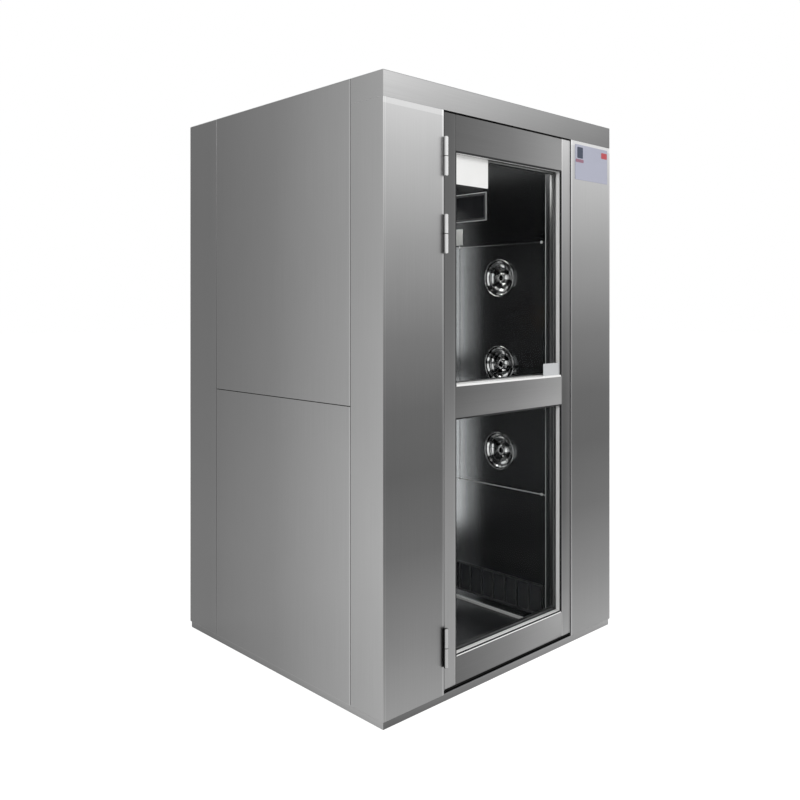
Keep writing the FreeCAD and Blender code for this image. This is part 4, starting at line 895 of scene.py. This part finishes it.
class AIRSHOWER_OT_nozzles(bpy.types.Operator):
    """Turns the twelve jet nozzles: the dished bezels on the walls and the swivelling balls in them"""

    bl_idname = "airshower.nozzles"
    bl_label = "Build Nozzles"

    def execute(self, context):
        steps = context.scene.air_shower_trim.turned_steps
        dish = turned_aluminium("dish_aluminium", 0.10)
        ball = turned_aluminium("ball_aluminium", 0.25)
        bezels = bmesh.new()
        for side, word in ((-1, "left"), (1, "right")):
            # Turned shapes point along +Z out of the wall, then face the cabin
            facing = Matrix.Rotation(-side * QUARTER, 4, "Y")
            for place, y in (("front", -NOZZLE_COLUMN), ("rear", NOZZLE_COLUMN)):
                for row, z in enumerate(NOZZLE_ROWS, 1):
                    on_panel = Matrix.Translation((side * (WALL_FACE - 0.003), y, z)) @ facing
                    lay(bezels, turned(bezels, self.bezel(), steps), on_panel)
                    mesh = bmesh.new()
                    in_socket = Matrix.Translation((side * BALL_CENTRE, y, z)) @ facing
                    lay(mesh, turned(mesh, self.ball(), steps), in_socket)
                    piece(f"{word}_jet_ball_{place}_{row}", mesh, ball, f"{word}_jet_{place}_{row}",
                          (f"{word}_nozzle_ball_{place}_{row}",))
        piece("nozzle_bezels_turned", bezels, dish, "cabinet", ("nozzle_bezels",))
        return {"FINISHED"}

    def bezel(self):
        """Raised rolled rim, groove and hollow dish that falls to the ball's socket."""
        rise, roll, steps = 0.010, 0.0012, 12
        outside = [(0.060, -0.003), (RIM_RADIUS, -0.003), (RIM_RADIUS, rise)]
        rim = arc((RIM_RADIUS - roll, rise), roll, 0, 180, 5)
        groove = [(0.0774, 0.002), (0.0766, -0.0012), (0.0740, -0.0012), (0.0732, 0.002)]
        dish = [(0.0725 - 0.0345 * i / steps, 0.003 - 0.025 * math.sin(QUARTER * i / steps))
                for i in range(steps + 1)]
        socket = [(0.0368, -0.0235), (0.0368, -0.040), (0.041, -0.040), (0.041, -0.026), (0.058, -0.014)]
        return outside + rim + groove + dish + socket

    def ball(self):
        """Jet ball: rounded lip at the hole, ball face, bored through."""
        nose, tail, hole, radius = 0.032, -0.024, 0.011, 0.036
        first, last = (math.degrees(math.asin(place / radius)) for place in (tail, nose))
        face = arc((0.0, 0.0), radius, first, last, 18)
        lip = [(0.0158, nose), (0.0142, nose - 0.0009), (0.0128, nose - 0.0004), (0.0116, nose - 0.0007)]
        return [(hole, tail)] + face + lip + [(hole, nose - 0.0018)]


class AIRSHOWER_OT_lining(bpy.types.Operator):
    """Finishes the cabin: inner walls with their screws, ceiling, lamp, grilles and the small plate"""

    bl_idname = "airshower.lining"
    bl_label = "Finish Lining"

    def execute(self, context):
        look, trim = context.scene.air_shower_look, context.scene.air_shower_trim
        walls = inner_steel(look)
        dress(walls, "inner_wall_base_panels", "nozzle_panels", "inner_wall_top_panels", edge=0.001)
        grille = brushed(Finish("grille_steel"), look, (0.25, 0.25, 0.255), UPRIGHT, soft=0.2)
        dress(grille, "return_grilles", edge=0.0006)
        dress(walls, "ceiling_panel")
        dress(opal_lamp(), "ceiling_lamp", edge=0.003)
        self.screws(sheet_paint("screw_zinc", (0.85, 0.85, 0.86), 0.35, 0.35, 300.0), trim.screw_radius)
        self.seams(polished_steel(), plastic("white_sealant", (0.86, 0.86, 0.85), 0.45))
        self.plate(plastic("wall_plate", (0.88, 0.88, 0.87), 0.4))
        return {"FINISHED"}

    def screws(self, zinc, radius):
        """Low screw heads, dished in the middle, along the wall panels' joints."""
        mesh = bmesh.new()
        foot, column, top_row = -0.0002, 0.455, 1.990
        head = [(0.0, 0.0018), (radius * 0.5, 0.0024), (radius * 0.88, 0.0016)]
        profile = head + [(radius, foot), (0.0, foot)]
        for side in (-1, 1):
            facing = Matrix.Rotation(-side * QUARTER, 4, "Y")
            for y in (-column, 0.0, column):
                for z in (*PANEL_JOINTS, top_row):
                    place = Matrix.Translation((side * WALL_FACE, y, z))
                    lay(mesh, turned(mesh, profile, 20), place @ facing)
        piece("lining_screws", mesh, zinc, "cabinet")

    def seams(self, steel, sealant):
        """Steel beads over the upper joints; sealant in the lower ones, at the ends and along the floor."""
        lower, upper = PANEL_JOINTS
        foot, head = 0.040, 2.0145
        beads, sealed = bmesh.new(), bmesh.new()
        strips = (
            (beads, 0.0006, (-WALL_END, WALL_END), (upper - 0.0011, upper + 0.0011)),
            (sealed, 0.0006, (-WALL_END, WALL_END), (lower - 0.0015, lower + 0.0015)),
            (sealed, 0.0006, (-WALL_END - 0.0025, -WALL_END + 0.0005), (foot, head)),
            (sealed, 0.0006, (WALL_END - 0.0005, WALL_END + 0.0025), (foot, head)),
            (sealed, 0.0090, (-WALL_END, WALL_END), (FLOOR_FACE + 0.0001, FLOOR_FACE + 0.0100)))
        for side in (-1, 1):
            for mesh, depth, along, up in strips:
                near = sorted((side * WALL_FACE, side * (WALL_FACE - depth)))
                block(mesh, (near[0], along[0], up[0]), (near[1], along[1], up[1]))
        for name, mesh, finish, slot in (("lining_upper_beads", beads, steel, "polished_steel"),
                                         ("lining_sealant", sealed, sealant, "white_bead")):
            round_edges(mesh, 0.0002, 1)
            piece(name, mesh, finish, "cabinet")

    def plate(self, paint):
        """The small pale plate by the upper joint."""
        mesh = bmesh.new()
        block(mesh, (WALL_FACE - 0.003, -0.018, 1.622), (WALL_FACE, 0.030, 1.695))
        round_edges(mesh, 0.001)
        piece("wall_plate", mesh, paint, "cabinet")


class AIRSHOWER_OT_controls(bpy.types.Operator):
    """Finishes the display, emergency stop and light-barrier sensors"""

    bl_idname = "airshower.controls"
    bl_label = "Finish Controls"

    def execute(self, context):
        dress(self.display_frame(), "display_bezel", edge=0.0012)
        dress(smooth_dark("display_window", (0.012, 0.012, 0.014)), "display_window", edge=0.0006)
        dress(plastic("stop_yellow", (0.70, 0.43, 0.02), 0.4), "emergency_stop_base", edge=0.002)
        self.stop_button(context.scene.air_shower_trim.turned_steps)
        dress(smooth_dark("sensor_lens", (0.02, 0.02, 0.024)), "photo_sensors", edge=0.0006)
        return {"FINISHED"}

    def stop_button(self, steps):
        """Collar, stem and domed mushroom head of the emergency stop; the stem starts inside the base."""
        mesh = bmesh.new()
        stem = [(0.0, 0.006), (0.012, 0.006), (0.012, 0.0215), (0.0165, 0.0225), (0.019, 0.0245)]
        dome = [(0.019, 0.031)] + arc((0.0155, 0.0325), 0.0035, 10, 70, 4) + [(0.009, 0.0405), (0.0, 0.041)]
        place = Matrix.Translation((-WALL_FACE, *STOP_CENTRE)) @ Matrix.Rotation(QUARTER, 4, "Y")
        lay(mesh, turned(mesh, stem + dome, steps), place)
        red = plastic("stop_red", (0.50, 0.02, 0.015), 0.22, 500.0, 0.00001, 0.5)
        piece("stop_button_cap", mesh, red, "stop_button", ("emergency_stop_button",))

    def display_frame(self):
        """Dark enamel, with a painted highlight along the outer edge."""
        low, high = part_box("display_bezel")
        middle, half = (low + high) / 2, (high - low) / 2
        finish = Finish("display_frame")
        highlight_reach = []
        for name, centre, reach in (("Y", middle.y, half.y), ("Z", middle.z, half.z)):
            off_centre = finish.maths("ABSOLUTE", finish.maths("SUBTRACT", finish.axis(name), centre))
            highlight_reach.append(finish.maths("SUBTRACT", off_centre, reach - 0.003))
        edge = finish.maths("GREATER_THAN", finish.maths("MAXIMUM", *highlight_reach), 0.0)
        grain = finish.noise(300.0)
        # Painted highlight along the outer edge of the frame
        tone = finish.mix(edge, (0.045, 0.046, 0.048), (0.75, 0.75, 0.76))
        finish.set(Base_Color=finish.times(tone, finish.mottle(grain, 0.9)),
                   Roughness=finish.vary(grain, 0.3, 0.45))
        finish.bump(grain, 0.00004)
        return finish.material


class AIRSHOWER_OT_signs(bpy.types.Operator):
    """Puts up the bare sticker, label and plate where such a cabinet carries its signs"""

    bl_idname = "airshower.signs"
    bl_label = "Put Up Signs"

    def execute(self, context):
        look = context.scene.air_shower_look
        white, grey, blue, red, slate, rose = (plastic(f"sign_{name}", tone, dull) for name, tone, dull in (
            ("white", (0.82, 0.82, 0.81), 0.5), ("grey", (0.50, 0.51, 0.52), 0.45),
            ("plate", look.plate, 0.4), ("block", look.block, 0.4),
            ("slate", (0.03, 0.04, 0.07), 0.4), ("rose", (0.26, 0.12, 0.17), 0.4)))
        film, card = 0.0004, 0.0012
        glass, bead, post, plate = GLASS_LOW.y, BEAD_LOW.y, -HALF_DEPTH, -HALF_DEPTH - card
        for name, across, up, back, depth, finish, body in (
                ("glass_sticker", (-0.3055, -0.108), (1.774, 1.8795), glass, film, white, "front_door"),
                ("pane_label", (0.199, 0.3094), (1.0712, 1.124), bead, card, grey, "front_door"),
                ("post_plate", (0.398, 0.630), (1.860, 2.002), post, card, blue, "cabinet"),
                ("post_plate_red_block", (0.584, 0.626), (1.964, 1.988), plate, film, red, "cabinet"),
                ("post_plate_dark_block", (0.412, 0.451), (1.947, 1.992), plate, film, slate, "cabinet"),
                ("post_plate_band", (0.401, 0.456), (1.930, 1.943), plate, film, rose, "cabinet")):
            mesh = bmesh.new()
            block(mesh, (across[0], back - depth, up[0]), (across[1], back, up[1]))
            corners = [e for e in mesh.edges if abs((e.verts[0].co - e.verts[1].co).y) > 1e-5]
            bevel(mesh, corners, 0.004, 4)
            piece(name, mesh, finish, body)
        return {"FINISHED"}


class AIRSHOWER_OT_service(bpy.types.Operator):
    """Finishes what lies behind the walls: plenums, filters, blowers, motors, locks and the control box"""

    bl_idname = "airshower.service"
    bl_label = "Finish Service Gear"

    def execute(self, context):
        dress(sheet_paint("zinc_sheet", (0.50, 0.52, 0.53), 0.85, 0.42, 70.0),
              "plenum_boxes", "blower_stands", "blower_housings")
        dress(sheet_paint("motor_enamel", (0.07, 0.075, 0.08), 0.0, 0.45, 40.0),
              "lock_cases", "blower_motors")
        dress(sheet_paint("fan_metal", (0.62, 0.63, 0.64), 1.0, 0.32, 120.0),
              "left_impeller", "right_impeller")
        dress(pleated_media(), "hepa_filters")
        dress(plastic("prefilter_foam", (0.03, 0.03, 0.032), 0.85, 350.0, 0.0006, 0.15), "prefilters")
        dress(sheet_paint("control_paint", (0.60, 0.61, 0.60), 0.0, 0.4, 60.0), "control_box", edge=0.002)
        dress(polished_steel(), "front_lock_bolt", "rear_lock_bolt", edge=0.001)
        return {"FINISHED"}


class AIRSHOWER_PT_finish(bpy.types.Panel):
    """Lists the steps and their settings"""

    bl_idname = "AIRSHOWER_PT_finish"
    bl_label = "Air Shower"
    bl_space_type = "VIEW_3D"
    bl_region_type = "UI"
    bl_category = "Air Shower"

    def draw(self, context):
        for step in STEPS:
            self.layout.operator(step.bl_idname)
        for group, settings in (("air_shower_trim", AirShowerTrim), ("air_shower_look", AirShowerLook)):
            box = self.layout.box()
            for name in settings.__annotations__:
                box.prop(getattr(context.scene, group), name)


STEPS = (AIRSHOWER_OT_stage, AIRSHOWER_OT_cabinet, AIRSHOWER_OT_doors, AIRSHOWER_OT_hinges,
         AIRSHOWER_OT_nozzles, AIRSHOWER_OT_lining, AIRSHOWER_OT_controls, AIRSHOWER_OT_signs,
         AIRSHOWER_OT_service)
CLASSES = (AirShowerTrim, AirShowerLook, *STEPS, AIRSHOWER_PT_finish)


def register():
    for item in CLASSES:
        bpy.utils.register_class(item)
    bpy.types.Scene.air_shower_trim = PointerProperty(type=AirShowerTrim)
    bpy.types.Scene.air_shower_look = PointerProperty(type=AirShowerLook)


def unregister():
    del bpy.types.Scene.air_shower_look
    del bpy.types.Scene.air_shower_trim
    for item in reversed(CLASSES):
        bpy.utils.unregister_class(item)


def main():
    register()
    bpy.ops.airshower.stage()
    bpy.ops.airshower.cabinet()
    bpy.ops.airshower.doors()
    bpy.ops.airshower.hinges()
    bpy.ops.airshower.nozzles()
    bpy.ops.airshower.lining()
    bpy.ops.airshower.controls()
    bpy.ops.airshower.signs()
    bpy.ops.airshower.service()
    bpy.context.view_layer.update()


if __name__ == "__main__":
    main()
